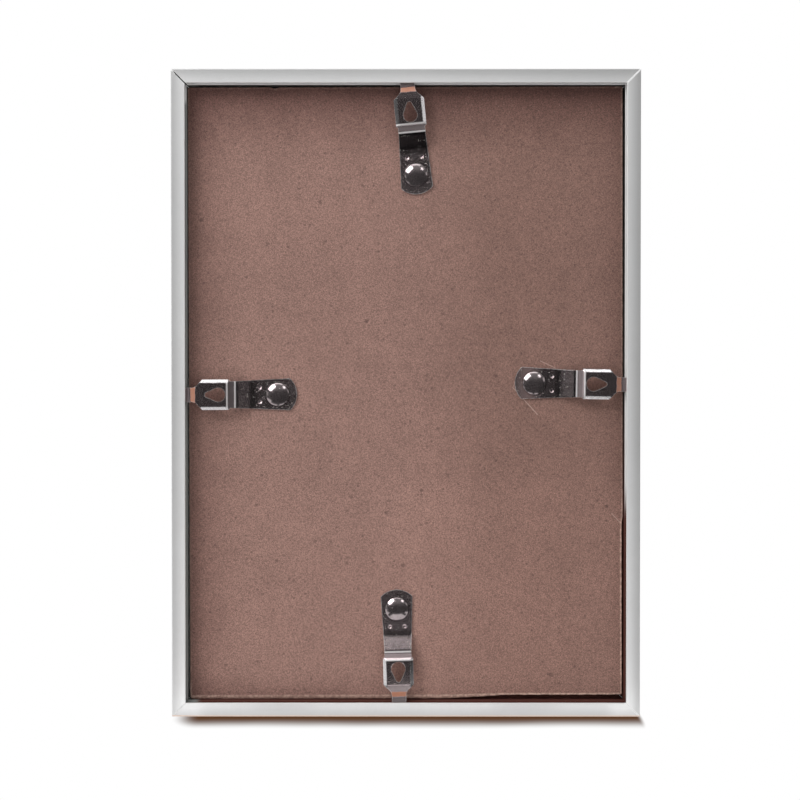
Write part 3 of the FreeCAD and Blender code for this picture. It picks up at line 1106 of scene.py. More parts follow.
@dataclass(frozen=True)
class RivetPlating:
    """Polished rivet heads with rub marks, dirt specks and a little dust."""

    colour: Colour = (0.64, 0.55, 0.56)
    dirt: Colour = (0.30, 0.26, 0.25)
    dusty: Colour = (0.5, 0.46, 0.42)
    roughness: float = 0.15

    def make(self) -> Material:
        """Build the material.

        Returns:
            The material.
        """
        made = Finish("polished_rivet", Metallic=0.93, Specular_IOR_Level=0.5)
        _, clouds = made.effect(EFFECTS.grain, Size=0.5 * MM, Cloud_Size=3.5 * MM)
        lines = made.effect(EFFECTS.hairlines, Width=0.12 * MM, Length=4 * MM)
        specks = made.effect(EFFECTS.specks, Cell_Size=2.2 * MM, Share=0.18, Radius_Share=0.14)
        dust = made.effect(EFFECTS.dust, Patch_Size=3 * MM, Amount=0.10)
        colour = made.shaded(self.colour, made.scaled(clouds, 0.4, 0.50))
        colour = made.layered(colour, (made.times(specks, 0.5), self.dirt), (dust, self.dusty))
        rough = made.summed(self.roughness - 0.03, (lines, 0.10), (specks, 0.25))
        made.set(Base_Color=colour, Roughness=rough)
        made.bump(made.summed(clouds, (specks, -0.6)), 0.05 * MM, 0.35)
        return made.material


@dataclass(frozen=True)
class GrainyMetal:
    """Dull bare metal of the inner pieces, with a grainy skin and paler worn edges."""

    name: str
    colour: Colour
    worn: Colour
    metallic: float
    roughness: float
    grain_size: float
    cloud_size: float
    wear_reach: float
    breakup_size: float
    bump_depth: float
    bump_strength: float

    def make(self) -> Material:
        """Build the material.

        Returns:
            The material.
        """
        made = Finish(self.name, Metallic=self.metallic, Specular_IOR_Level=0.5)
        grain, clouds = made.effect(EFFECTS.grain, Size=self.grain_size, Cloud_Size=self.cloud_size)
        wear = made.effect(EFFECTS.edge_wear, Reach=self.wear_reach, Breakup_Size=self.breakup_size)
        colour = made.shaded(self.colour, made.scaled(clouds, 0.5, 0.75))
        colour = made.blend(wear, colour, self.worn)
        made.set(Base_Color=colour, Roughness=made.scaled(grain, 0.2, self.roughness))
        made.bump(grain, self.bump_depth, self.bump_strength)
        return made.material


ZINC_STEEL = GrainyMetal(
    name="zinc_steel",
    colour=(0.42, 0.43, 0.45),
    worn=(0.66, 0.66, 0.66),
    metallic=0.9,
    roughness=0.32,
    grain_size=0.25 * MM,
    cloud_size=3 * MM,
    wear_reach=0.2 * MM,
    breakup_size=1 * MM,
    bump_depth=0.02 * MM,
    bump_strength=0.5,
)
SANDY_CASTING = GrainyMetal(
    name="sandy_casting",
    colour=(0.30, 0.31, 0.32),
    worn=(0.55, 0.55, 0.56),
    metallic=0.7,
    roughness=0.45,
    grain_size=0.5 * MM,
    cloud_size=8 * MM,
    wear_reach=0.3 * MM,
    breakup_size=2 * MM,
    bump_depth=0.06 * MM,
    bump_strength=0.7,
)


@dataclass(frozen=True)
class InsertPaper:
    """Plain off-white insert behind the glass, with a faint fibre."""

    colour: Colour = (0.80, 0.785, 0.75)
    fleck: Colour = (0.6, 0.56, 0.5)

    def make(self) -> Material:
        """Build the material.

        Returns:
            The material.
        """
        made = Finish("plain_paper", Metallic=0.0, Specular_IOR_Level=0.3)
        grain, clouds = made.effect(EFFECTS.grain, Size=0.5 * MM, Cloud_Size=12 * MM)
        flecks = made.effect(EFFECTS.specks, Cell_Size=3 * MM, Share=0.12, Radius_Share=0.08)
        level = made.varied(made.scaled(grain, 0.05, 0.955), (clouds, 0.05, 0.975))
        colour = made.blend(made.times(flecks, 0.25), made.shaded(self.colour, level), self.fleck)
        made.set(Base_Color=colour, Roughness=made.scaled(grain, 0.1, 0.7))
        made.bump(grain, 0.02 * MM, 0.4)
        return made.material


@dataclass(frozen=True)
class PaneGlass:
    """Clear float glass, faintly green, that lets light through to the insert."""

    tint: Colour = (0.93, 0.97, 0.95)
    index: float = 1.52

    def make(self) -> Material:
        """Build the material.

        Returns:
            The material.
        """
        made = Finish("float_glass", Metallic=0.0, Transmission_Weight=1.0, IOR=self.index)
        made.set(Base_Color=self.tint)
        _, smears = made.effect(EFFECTS.grain, Size=6 * MM, Cloud_Size=55 * MM)
        dust = made.effect(EFFECTS.dust, Patch_Size=20 * MM, Amount=0.12)
        made.set(Roughness=made.scaled(dust, 0.2, made.eased(smears, 0.45, 0.75, 0.0, 0.035)))
        passing = made.add("ShaderNodeLightPath").outputs["Is Shadow Ray"]
        clear = made.add("ShaderNodeBsdfTransparent", {0: made.opaque(self.tint)})
        mixed = made.add("ShaderNodeMixShader", {0: passing, 1: made.shader, 2: clear})
        made.feed(made.output.inputs[0], mixed)
        return made.material


# Rails and board


def rivet_centre(side: Side) -> Vector:
    """Centre of a rivet's box."""
    low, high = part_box(f"rivet_{side.value}")
    return (low + high) / 2


@dataclass
class RailFrame:
    """The four mitred rails, drawn as one section along each side."""

    lip_width: float = 6.7 * MM
    lip_thickness: float = 1.3 * MM
    slot_height: float = 2.0 * MM
    shelf_thickness: float = 1.0 * MM
    outer_wall: float = 1.2 * MM
    web_reach: float = 7.3 * MM
    web_thickness: float = 1.0 * MM
    face_thickness: float = 1.4 * MM
    face_width: float = 12.0 * MM
    outer_edge_radius: float = 0.5 * MM
    lip_edge_radius: float = 0.3 * MM
    root_radius: float = 0.25 * MM
    mitre_gap: float = 0.06 * MM
    open_mitre_gap: float = 0.40 * MM
    longest_run: float = 30 * MM
    half_width: float = CAD_BOX[1].x
    half_height: float = CAD_BOX[1].z
    high: float = CAD_BOX[1].y

    def section(self) -> tuple[list[Vector], list[Vector]]:
        """The rail's outline and its chamber, as inward distance and height."""
        lip_under = self.high - self.lip_thickness
        shelf_over = lip_under - self.slot_height
        shelf_under = shelf_over - self.shelf_thickness
        face_inner = -self.high + self.face_thickness
        edge, lip, root = self.outer_edge_radius, self.lip_edge_radius, self.root_radius
        face, wall, web = self.face_width, self.outer_wall, self.web_reach
        outline = [
            (0, self.high, edge),
            (0, -self.high, edge),
            (face, -self.high, edge),
            (face, face_inner, lip),
            (web, face_inner, root),
            (web, shelf_over, lip),
            (wall, shelf_over, root),
            (wall, lip_under, root),
            (self.lip_width, lip_under, lip),
            (self.lip_width, self.high, lip),
        ]
        inner = web - self.web_thickness
        chamber = [(wall, shelf_under), (wall, face_inner), (inner, face_inner), (inner, shelf_under)]
        return rounded_path(outline), rounded_path([(*corner, root) for corner in chamber])

    def rail_mesh(self, name: str, length: float, half_span: float, gaps: tuple[float, float]) -> Mesh:
        """One rail along x, with its outer face at the top.

        Args:
            name: Name of the mesh.
            length: Length of its outer edge.
            half_span: Height of its outer face.
            gaps: What is taken off its low and high ends.

        Returns:
            The mesh, with a UV map of the distance along the rail and across it.
        """
        outline, chamber = self.section()
        build = bmesh.new()
        uv = build.loops.layers.uv.new("rail")
        stations = max(2, math.ceil(length / self.longest_run))
        ends = [], []
        for loop, walk in ((outline, 1), (chamber, -1)):
            rings = []
            for station in range(stations + 1):
                share = station / stations
                ring = []
                for point in loop:
                    low_gap, high_gap = gaps if point.y > 0 else (self.mitre_gap, self.mitre_gap)
                    low = -length / 2 + low_gap + point.x
                    high = length / 2 - high_gap - point.x
                    ring.append(build.verts.new((low + (high - low) * share, point.y, half_span - point.x)))
                rings.append(ring)
            for first, second in zip(rings, rings[1:]):
                for index in range(len(loop)):
                    after = (index + 1) % len(loop)
                    corners = [first[index], first[after], second[after], second[index]]
                    build.faces.new(corners[::walk])
            for edges, ring in zip(ends, (rings[0], rings[-1])):
                edges += [build.edges.get((ring[index - 1], ring[index])) for index in range(len(ring))]
        for edges in ends:
            bmesh.ops.triangle_fill(build, use_beauty=True, use_dissolve=False, edges=edges)
        bmesh.ops.recalc_face_normals(build, faces=build.faces)
        for face in build.faces:
            for corner in face.loops:
                place = corner.vert.co
                corner[uv].uv = (place.x, half_span - place.z)
        mesh = bpy.data.meshes.new(name)
        build.to_mesh(mesh)
        build.free()
        return smoothed(mesh, 35)

    def build(self, finish: Material) -> None:
        """Make the four rails.

        Args:
            finish: Their material.
        """
        wide, high = self.half_width, self.half_height
        closed, parted = self.mitre_gap, self.open_mitre_gap
        sides = (
            (Side.TOP, wide, high, (closed, parted), 0),
            (Side.LEFT, high, wide, (parted, closed), 90),
            (Side.BOTTOM, wide, high, (closed, closed), 180),
            (Side.RIGHT, high, wide, (closed, closed), 270),
        )
        for side, half_length, half_span, gaps, turn in sides:
            mesh = self.rail_mesh(f"{side.value}_extrusion", 2 * half_length, half_span, gaps)
            mesh.transform(Matrix.Rotation(math.radians(turn), 4, "Y"))
            mesh.materials.append(finish)
            add_piece(mesh, Body.FRAME, Slot.RAIL, f"{side.value}_rail")


@dataclass
class BackingBoard:
    """Hardboard back: a cut sheet with torn edges, a chip, and a stepped hole for each rivet."""

    width: float = 209.6 * MM
    height: float = 296.6 * MM
    thickness: float = 2.5 * MM
    corner_radius: float = 1.0 * MM
    spare_left: float = 1.6 * MM
    spare_above: float = 1.1 * MM
    spare_right: float = 1.6 * MM
    spare_low_right: float = 1.0 * MM
    step_place: float = -64 * MM
    step_run: float = 3 * MM
    step_radius: float = 0.8 * MM
    spare_below: float = 0.6 * MM
    torn_rear: float = 0.6 * MM
    torn_front: float = 1.0 * MM
    torn_band: float = 1.6 * MM
    torn_from: float = -50 * MM
    torn_run: float = 30 * MM
    lift: float = 0.55 * MM
    turn: float = math.radians(0.15)
    waver: float = 0.07 * MM
    chip_place: float = 63.6 * MM
    chip_width: float = 1.5 * MM
    chip_depth: float = 0.7 * MM
    edge_roll: float = 0.46 * MM
    hole_radius: float = 2.43 * MM
    counterbore_radius: float = 5.0 * MM
    counterbore_depth: float = 1.1 * MM
    hole_steps: int = 40
    grid_step: float = 12 * MM
    grid_clear: float = 4 * MM
    fibre_pitch: float = 0.55 * MM
    fibre_length: float = 0.55 * MM
    fibre_radius: float = 0.045 * MM
    fibre_seed: int = 7
    rear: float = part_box("backing_board")[1].y

    def outline(self) -> list[Vector]:
        """The sheet's cut edge, a little uneven, with its chip."""
        half_width = self.width / 2
        left, right = half_width + self.spare_left, -half_width - self.spare_right
        low_right = -half_width - self.spare_low_right
        top, bottom = self.height / 2 + self.spare_above, -self.height / 2 - self.spare_below
        corners = [
            (left, top, self.corner_radius),
            (right, top, self.corner_radius),
            (right, self.step_place + self.step_run, self.step_radius),
            (low_right, self.step_place, self.step_radius),
            (low_right, bottom, self.corner_radius),
            (left, bottom, self.corner_radius),
        ]
        points = []
        for point in divided(rounded_path(corners, math.radians(15)), 0.9 * MM):
            round_share = math.sin(point.x * 900) * math.sin(point.y * 760 + 1.3)
            shrink = self.waver * (1 + round_share) / 2
            near_chip = 0.0
            if point.y > top - self.corner_radius:
                near_chip = math.exp(-(((point.x - self.chip_place) / self.chip_width) ** 2))
            inward = Vector((0, -near_chip * self.chip_depth - self.torn_share(point) * self.torn_rear))
            points.append(point * (1 - shrink / half_width) + inward)
        return points

    def torn_share(self, point: Vector) -> float:
        """How much of the lower edge's torn slope there is, most towards its left end.

        Args:
            point: Place on the straight, centred board.

        Returns:
            The share, from 0 to 1.
        """
        low = (1.0 * MM - self.height / 2 - point.y) / self.torn_band
        along = (point.x - self.torn_from) / self.torn_run
        return max(0.0, min(1.0, low)) * max(0.0, min(1.0, along))

    def placed(self, x: float, y: float, z: float) -> tuple[float, float, float]:
        """Place in the frame of a point on the straight, centred board, y up from its rear face."""
        cos, sin = math.cos(self.turn), math.sin(self.turn)
        return x * cos + z * sin, self.rear + y, z * cos - x * sin + self.lift

    def rivet_places(self) -> list[Vector]:
        """Rivet centres on the straight, centred board."""
        cos, sin = math.cos(self.turn), math.sin(self.turn)
        places = []
        for middle in map(rivet_centre, Side):
            x, z = middle.x, middle.z - self.lift
            places.append(Vector((x * cos - z * sin, z * cos + x * sin)))
        return places

    def board_mesh(self) -> Mesh:
        """The board as a closed sheet with stepped holes."""
        outer = self.outline()
        roll = self.edge_roll
        torn = [self.torn_share(point) for point in outer]
        wide = [point - Vector((0, share * self.torn_front)) for point, share in zip(outer, torn)]
        whole = [1.0 - share for share in torn]
        rings = [
            (offset(outer, roll + 0.70 * MM), 0.0, 0.0),
            (offset(outer, roll), 0.0, 1.0),
            (offset(outer, roll * 0.3), -roll * 0.3, 1.0),
            (wide, -roll, whole),
            (wide, -self.thickness, whole),
        ]
        grid_step, clear = self.grid_step, self.counterbore_radius + self.grid_clear
        places = self.rivet_places()
        columns, rows = int(self.width / 2 / grid_step), int(self.height / 2 / grid_step)
        grid = []
        for column in range(-columns, columns + 1):
            for row in range(-rows, rows + 1):
                point = Vector((column * grid_step, row * grid_step))
                if all((point - place).length > clear for place in places):
                    grid.append(point)
        small = [circle(place, self.hole_radius, self.hole_steps) for place in places]
        large = [circle(place, self.counterbore_radius, self.hole_steps) for place in places]
        vertices, cut, faces = [], [], []

        def add_ring(points: Sequence[Vector], depth: float, edge: float | Sequence[float]) -> list[int]:
            """Add a ring of vertices.

            Args:
                points: Their places on the board.
                depth: Their height over its rear face.
                edge: Share of the cut edge's colour, for all or for each.

            Returns:
                Their numbers.
            """
            first = len(vertices)
            vertices.extend(self.placed(point.x, depth, point.y) for point in points)
            cut.extend([edge] * len(points) if isinstance(edge, float) else edge)
            return list(range(first, first + len(points)))

        def add_wall(upper: Sequence[int], lower: Sequence[int]) -> None:
            """Add the faces between two rings, outwards for a counterclockwise pair."""
            for index in range(len(upper)):
                faces.append((upper[index - 1], upper[index], lower[index], lower[index - 1]))

        made_rings = [add_ring(*ring) for ring in rings]
        for upper, lower in zip(made_rings, made_rings[1:]):
            add_wall(upper, lower)
        step = -self.thickness + self.counterbore_depth
        stages = (small, 0.0), (small, step), (large, step), (large, -self.thickness)
        bores = [[add_ring(hole, depth, 0.0) for hole in holes] for holes, depth in stages]
        for nearer, deeper in zip(bores, bores[1:]):
            for rear, front in zip(nearer, deeper):
                add_wall(front, rear)
        for first, holes, numbers, depth, flip in (
            (rings[0][0], small, [made_rings[0], *bores[0]], 0.0, False),
            (rings[-1][0], large, [made_rings[-1], *bores[-1]], -self.thickness, True),
        ):
            points, triangles = filled(first, holes, grid)
            known = [number for ring in numbers for number in ring]
            index = known + add_ring(points[len(known):], depth, 0.0)
            for triangle in triangles:
                face = tuple(index[corner] for corner in triangle)
                faces.append(face[::-1] if flip else face)
        mesh = new_mesh("hardboard_back", vertices, faces)
        mark = mesh.attributes.new("cut_edge", "FLOAT", "POINT")
        mark.data.foreach_set("value", cut)
        return smoothed(mesh, 50)

    def fibre_recipe(self) -> Recipe:
        """Torn fibres that stand out of a curve at random."""
        inputs = {
            "Pitch": ("Float", self.fibre_pitch),
            "Length": ("Float", self.fibre_length),
            "Radius": ("Float", self.fibre_radius),
            "Seed": ("Int", self.fibre_seed),
            "Finish": ("Material", None),
        }
        recipe = Recipe("torn_fibres", inputs)
        given = recipe.given
        curve = recipe.add("GeometryNodeMeshToCurve", {0: given["Geometry"]})
        sockets = {"Curve": curve, "Length": given["Pitch"]}
        spaced = recipe.add("GeometryNodeResampleCurve", sockets, mode="LENGTH")
        cone = {"Vertices": 5, "Radius Top": 0.0, "Radius Bottom": given["Radius"], "Depth": given["Length"]}
        fibre = recipe.add("GeometryNodeMeshCone", cone)
        kept = self.random_value(recipe, "BOOLEAN", Probability=0.7)
        lean = self.random_value(recipe, "FLOAT_VECTOR", Min=(-1.2, -0.4, -1.2), Max=(1.2, 0.4, 1.2))
        size = self.random_value(recipe, "FLOAT", Min=0.35, Max=1.0)
        sockets = {"Points": spaced, "Selection": kept, "Instance": fibre, "Rotation": lean, "Scale": size}
        standing = recipe.add("GeometryNodeInstanceOnPoints", sockets)
        recipe.finish(standing, [(given["Finish"], True)])
        return recipe

    @staticmethod
    def random_value(recipe: Recipe, kind: str, **limits: Any) -> Socket:
        """A random value for each point, from the tree's seed.

        Args:
            recipe: The tree.
            kind: Type of the value.
            **limits: Values of its inputs, by name.

        Returns:
            The value's socket.
        """
        node = recipe.add("FunctionNodeRandomValue", data_type=kind)
        for name, value in {**limits, "Seed": recipe.given["Seed"]}.items():
            matching = (socket for socket in node.inputs if socket.name == name and socket.enabled)
            recipe.feed(next(matching), value)
        return next(socket for socket in node.outputs if socket.enabled)

    def fibre_mesh(self, finish: Material) -> Mesh:
        """Fibres along the board's rear edge.

        Args:
            finish: Their material.

        Returns:
            The mesh.
        """
        path = offset(self.outline(), self.edge_roll * 0.3)
        wire = bpy.data.meshes.new("fibre_path")
        depth = -self.edge_roll * 0.35
        vertices = [self.placed(point.x, depth, point.y) for point in path]
        edges = [(index, (index + 1) % len(path)) for index in range(len(path))]
        wire.from_pydata(vertices, edges, [])
        holder = linked("fibre_path", wire)
        self.fibre_recipe().apply(holder, {"Finish": finish})
        return baked(holder, "board_edge_fibres")

    def build(self, board_finish: Material, fibre_finish: Material) -> None:
        """Make the board and the fibres on its edge.

        Args:
            board_finish: The board's material.
            fibre_finish: The fibres' material.
        """
        board = self.board_mesh()
        board.materials.append(board_finish)
        add_piece(board, Body.FRAME, Slot.BOARD, "backing_board")
        add_piece(self.fibre_mesh(fibre_finish), Body.FRAME, Slot.BOARD)


# Turning clips


@dataclass
class TurningClip:
    """A clip pressed from sheet: a flat blank, shaped by a recipe that holds its bends."""

    sheet: float = 0.5 * MM
    base_height: float = 0.85 * MM
    neck_height: float = 5.5 * MM
    plateau_height: float = 6.5 * MM
    crest_height: float = 6.15 * MM
    tongue_height: float = 5.4 * MM
    back: float = 9.5 * MM
    back_arc_radius: float = 10.8 * MM
    back_corner_radius: float = 0.8 * MM
    ramp_start: float = 13.0 * MM
    ramp_end: float = 20.3 * MM
    neck_end: float = 23.3 * MM
    panel_start: float = 24.3 * MM
    panel_end: float = 36.3 * MM
    crest_end: float = 40.1 * MM
    slope_end: float = 42.2 * MM
    tongue_tip: float = 47.7 * MM
    base_half: float = 7.5 * MM
    neck_half: float = 6.55 * MM
    flange_half: float = 7.4 * MM
    panel_half: float = 5.65 * MM
    tongue_half: float = 3.45 * MM
    flange_drop: float = 1.22 * MM
    shoulder_run: float = 3.6 * MM
    shoulder_radius: float = 4.0 * MM
    flange_corner_radius: float = 0.5 * MM
    tip_radius: float = 0.9 * MM
    neck_step: float = 0.7 * MM
    ramp_bend_radius: float = 1.6 * MM
    crown_bend_radius: float = 0.9 * MM
    panel_edge_radius: float = 0.45 * MM
    rivet_hole_radius: float = 2.44 * MM
    hole_steps: int = 44
    drop_start: float = 25.2 * MM
    drop_length: float = 10.0 * MM
    drop_wide: float = 3.45 * MM
    drop_narrow: float = 1.3 * MM
    dimple_run: float = 8.7 * MM
    dimple_spacing: float = 3.55 * MM
    dimple_radius: float = 2.0 * MM
    dimple_centre: float = 2.55 * MM
    dimple_blend: float = 0.16 * MM
    roof_blend: float = 0.12 * MM
    clear_rise: float = 20.0
    edge_roll: float = 0.24 * MM
    coarse: float = 0.62 * MM
    fine: float = 0.16 * MM
    edge_clear: float = 0.2 * MM
    stations: tuple[str, ...] = (
        "ramp_start", "ramp_end", "neck_end", "panel_start", "panel_end", "crest_end", "slope_end",
    )
    pressed: tuple[str, ...] = (
        "sheet", "base_height", "neck_height", "plateau_height", "crest_height", "tongue_height",
        "ramp_bend_radius", "crown_bend_radius", "panel_edge_radius", "panel_half",
        "dimple_run", "dimple_spacing", "dimple_radius", "dimple_centre",
    )

    def outline(self) -> list[Vector]:
        """Outline of the flat blank, as distance from the rivet and half width."""
        taper = (self.base_half - self.neck_half) / self.ramp_end
        arc_centre = self.back_arc_radius - self.back
        reach = 1 + taper ** 2
        middle = arc_centre + taper * self.base_half
        spare = arc_centre ** 2 + self.base_half ** 2 - self.back_arc_radius ** 2
        corner_x = (middle - math.sqrt(middle ** 2 - reach * spare)) / reach
        corner_z = self.base_half - taper * corner_x
        corner_angle = math.atan2(corner_z, corner_x - arc_centre)
        side = [
            (corner_x, corner_z, self.back_corner_radius),
            (self.ramp_end, self.neck_half, 0),
            (self.neck_end - self.neck_step / 2, self.neck_half, 0),
            (self.neck_end + self.neck_step / 2, self.flange_half, self.flange_corner_radius),
            (self.crest_end - self.shoulder_run, self.flange_half, self.flange_corner_radius),
            (self.crest_end, self.tongue_half, self.shoulder_radius),
            (self.tongue_tip, self.tongue_half, self.tip_radius),
        ]
        mirrored = [(x, -z, radius) for x, z, radius in reversed(side)]
        end = arc(arc_centre, self.back_arc_radius, -corner_angle, 2 * corner_angle - math.tau, 12)[1:-1]
        path = rounded_path(side + mirrored + [(point.x, point.y, 0) for point in end], math.radians(14))
        path.reverse()
        return divided(path, self.coarse)

    def teardrop(self) -> list[Vector]:
        """Outline of the hanging hole."""
        wide_x = self.drop_start + self.drop_wide
        narrow_x = self.drop_start + self.drop_length - self.drop_narrow
        lean = math.acos((self.drop_wide - self.drop_narrow) / (narrow_x - wide_x))
        points = arc(wide_x, self.drop_wide, lean, math.tau - 2 * lean, 30)
        points += arc(narrow_x, self.drop_narrow, -lean, 2 * lean, 14)
        return divided(points, self.coarse)

    def grid(self, low: float, high: float, bends: Sequence[float], reach: float) -> list[float]:
        """Places along one direction, close together near bends.

        Args:
            low: First place.
            high: Last place.
            bends: Where it bends.
            reach: How far from a bend the places stay close.

        Returns:
            The places, in order.
        """
        places = [low]
        while places[-1] < high:
            near = any(abs(places[-1] + self.fine - bend) < reach for bend in bends)
            places.append(places[-1] + (self.fine if near else self.coarse))
        return places

    def blank(self) -> Mesh:
        """The flat blank with its holes."""
        outline = self.outline()
        hole = circle(Vector((0, 0)), self.rivet_hole_radius, self.hole_steps)
        drop = self.teardrop()
        bends = [getattr(self, name) for name in self.stations]
        rows = self.grid(-self.back, self.tongue_tip, bends, 0.75 * MM)
        columns = self.grid(-self.base_half, self.base_half, [-self.panel_half, self.panel_half], 0.5 * MM)
        inner = []
        edge_points = [*outline, *hole, *drop]
        dimples = [Vector((self.dimple_run, side * self.dimple_spacing)) for side in (-1, 1)]
        dimple_reach = self.dimple_radius * 1.15
        for point in (Vector((x, z)) for x in rows for z in columns):
            free = all((point - centre).length >= dimple_reach for centre in dimples)
            if free and holds(outline, point) and not holds(hole, point) and not holds(drop, point):
                if all((point - near).length_squared >= self.edge_clear ** 2 for near in edge_points):
                    inner.append(point)
        for centre in dimples:
            inner.append(centre)
            for ring in range(1, 10):
                inner.extend(circle(centre, dimple_reach * ring / 9.5, 8 + 3 * ring))
        points, triangles = filled(outline, [hole, drop], inner)
        return new_mesh("clip_blank", [(point.x, 0.0, point.y) for point in points], triangles)

    def bend_group(self) -> bpy.types.NodeTree:
        """Node group of one soft bend: how far a change of slope has lifted the sheet."""
        wiring = Wiring(bpy.data.node_groups.new("soft_bend", "GeometryNodeTree"))
        for label in ("Along", "Start", "Slope Change", "Radius"):
            wiring.declare(label, "Float")
        wiring.declare("Rise", "Float", way="OUTPUT")
        along, start, change, radius, _ = wiring.add("NodeGroupInput").outputs
        past = wiring.minus(along, start)
        width = wiring.times(radius, wiring.size(change), 0.5)
        squares = wiring.plus(wiring.times(past, past), wiring.times(width, width))
        ramp = wiring.times(wiring.plus(past, wiring.math("SQRT", squares)), 0.5)
        wiring.add("NodeGroupOutput", {0: wiring.times(ramp, change)})
        return wiring.tree

    def press_recipe(self) -> Recipe:
        """Tree that thickens a flat blank, presses its bends, flanges and dimples, and puts it in place."""
        names = self.stations + self.pressed
        inputs = {name.replace("_", " ").title(): ("Float", getattr(self, name)) for name in names}
        inputs["Flange Slope"] = ("Float", self.flange_drop / (self.flange_half - self.panel_half))
        inputs["Turn"] = ("Float", 0.0)
        inputs["Place"] = ("Vector", None)
        inputs["Finish"] = ("Material", None)
        inputs["Cut Finish"] = ("Material", None)
        recipe = Recipe("press_clip", inputs)
        given = recipe.given
        thick, sheared = self.thickened(recipe)
        x, level, z = recipe.parts(recipe.add("GeometryNodeInputPosition"))
        height = self.pressed_height(recipe, x, z)
        floor = recipe.minus(height, given["Sheet"])
        shaped = recipe.joined(x, recipe.plus(floor, level), z)
        store = "GeometryNodeStoreNamedAttribute"
        sockets = {"Geometry": thick, "Name": "press", "Value": recipe.joined(x, z, 0.0)}
        marked = recipe.add(store, sockets, data_type="FLOAT_VECTOR")
        sockets = {"Geometry": marked, "Name": "sheared", "Value": sheared}
        marked = recipe.add(store, sockets, data_type="BOOLEAN", domain="FACE")
        sockets = {"Vector": shaped, "Angle": given["Turn"]}
        turned = recipe.add("ShaderNodeVectorRotate", sockets, rotation_type="Y_AXIS")
        place = recipe.vector("ADD", turned, given["Place"])
        pressed = recipe.add("GeometryNodeSetPosition", {"Geometry": marked, "Position": place})
        welded = recipe.add("GeometryNodeMergeByDistance", {"Geometry": pressed, "Distance": 0.002 * MM})
        cut = recipe.add("GeometryNodeInputNamedAttribute", {"Name": "sheared"}, data_type="BOOLEAN")
        recipe.finish(welded, [(given["Finish"], True), (given["Cut Finish"], cut)])
        return recipe

    def thickened(self, recipe: Recipe) -> tuple[Socket, Socket]:
        """Give the blank its thickness.

        Args:
            recipe: The tree.

        Returns:
            The closed sheet, and which of its faces are cut edges.
        """
        blank = recipe.given["Geometry"]
        lift = recipe.joined(0.0, recipe.given["Sheet"], 0.0)
        sockets = {"Mesh": blank, "Offset": lift, "Offset Scale": 1.0, "Individual": False}
        raised = recipe.add("GeometryNodeExtrudeMesh", sockets, mode="FACES")
        under = recipe.add("GeometryNodeFlipFaces", {0: blank})
        both = recipe.add("GeometryNodeJoinGeometry", {0: raised.outputs["Mesh"]})
        recipe.tree.links.new(under.outputs[0], both.inputs[0])
        return both.outputs[0], raised.outputs["Side"]

    def pressed_height(self, recipe: Recipe, along: Any, across: Any) -> Socket:
        """Height of the clip's upper surface.

        Args:
            recipe: The tree.
            along: Distance from the rivet.
            across: Distance from the middle line.

        Returns:
            The height's socket.
        """
        given = recipe.given
        group = self.bend_group()
        profile = [
            ("Ramp Start", "Base Height", "Ramp Bend Radius"),
            ("Ramp End", "Neck Height", "Crown Bend Radius"),
            ("Neck End", "Neck Height", "Panel Edge Radius"),
            ("Panel Start", "Plateau Height", "Panel Edge Radius"),
            ("Panel End", "Plateau Height", "Ramp Bend Radius"),
            ("Crest End", "Crest Height", "Ramp Bend Radius"),
            ("Slope End", "Tongue Height", "Ramp Bend Radius"),
        ]

        def risen(*inputs: Any) -> Socket:
            """How much one soft bend lifts the sheet."""
            return recipe.add("GeometryNodeGroup", dict(enumerate(inputs)), node_tree=group).outputs[0]

        height = given["Base Height"]
        slope = 0.0
        for index, (station, level, radius) in enumerate(profile):
            slope_after = 0.0
            if index + 1 < len(profile):
                next_station, next_level, _ = profile[index + 1]
                rise = recipe.minus(given[next_level], given[level])
                slope_after = recipe.over(rise, recipe.minus(given[next_station], given[station]))
            change = recipe.minus(slope_after, slope)
            height = recipe.plus(height, risen(along, given[station], change, given[radius]))
            slope = slope_after
        away = recipe.size(across)
        flange = risen(away, given["Panel Half"], given["Flange Slope"], given["Panel Edge Radius"])
        roof = recipe.minus(given["Plateau Height"], flange)
        height = recipe.math("SMOOTH_MIN", height, roof, self.roof_blend)
        beside = recipe.minus(away, given["Dimple Spacing"])
        gap = recipe.far(recipe.minus(along, given["Dimple Run"]), beside)
        radius = given["Dimple Radius"]
        inside = recipe.minus(recipe.times(radius, radius), recipe.times(gap, gap))
        hollow = recipe.minus(given["Dimple Centre"], recipe.math("SQRT", recipe.most(inside, 0.0)))
        outside = recipe.most(recipe.minus(gap, radius), 0.0)
        hollow = recipe.scaled(outside, self.clear_rise, hollow)
        return recipe.math("SMOOTH_MIN", height, hollow, self.dimple_blend)

    def build(self, places: Places, finish: Material, cut: Material) -> None:
        """Press the four clips.

        Args:
            places: Rivet centre on the board, and turn, of each clip.
            finish: Material of the plated sheet.
            cut: Material of its sheared edges.
        """
        blank = self.blank()
        blank.materials.append(finish)
        recipe = self.press_recipe()
        for side, (place, turn) in places.items():
            holder = linked(f"blank_{side.value}", blank.copy())
            recipe.apply(holder, {"Place": tuple(place), "Turn": turn, "Finish": finish, "Cut Finish": cut})
            rounding = holder.modifiers.new("edge_roll", "BEVEL")
            rounding.width = self.edge_roll
            rounding.segments = 2
            rounding.material = 1
            rounding.limit_method = "ANGLE"
            rounding.angle_limit = math.radians(50)
            mesh = smoothed(baked(holder, f"pressed_clip_{side.value}"), 40)
            add_piece(mesh, Body(f"turning_clip_{side.value}"), Slot.CLIP, f"clip_{side.value}")


# Rivets


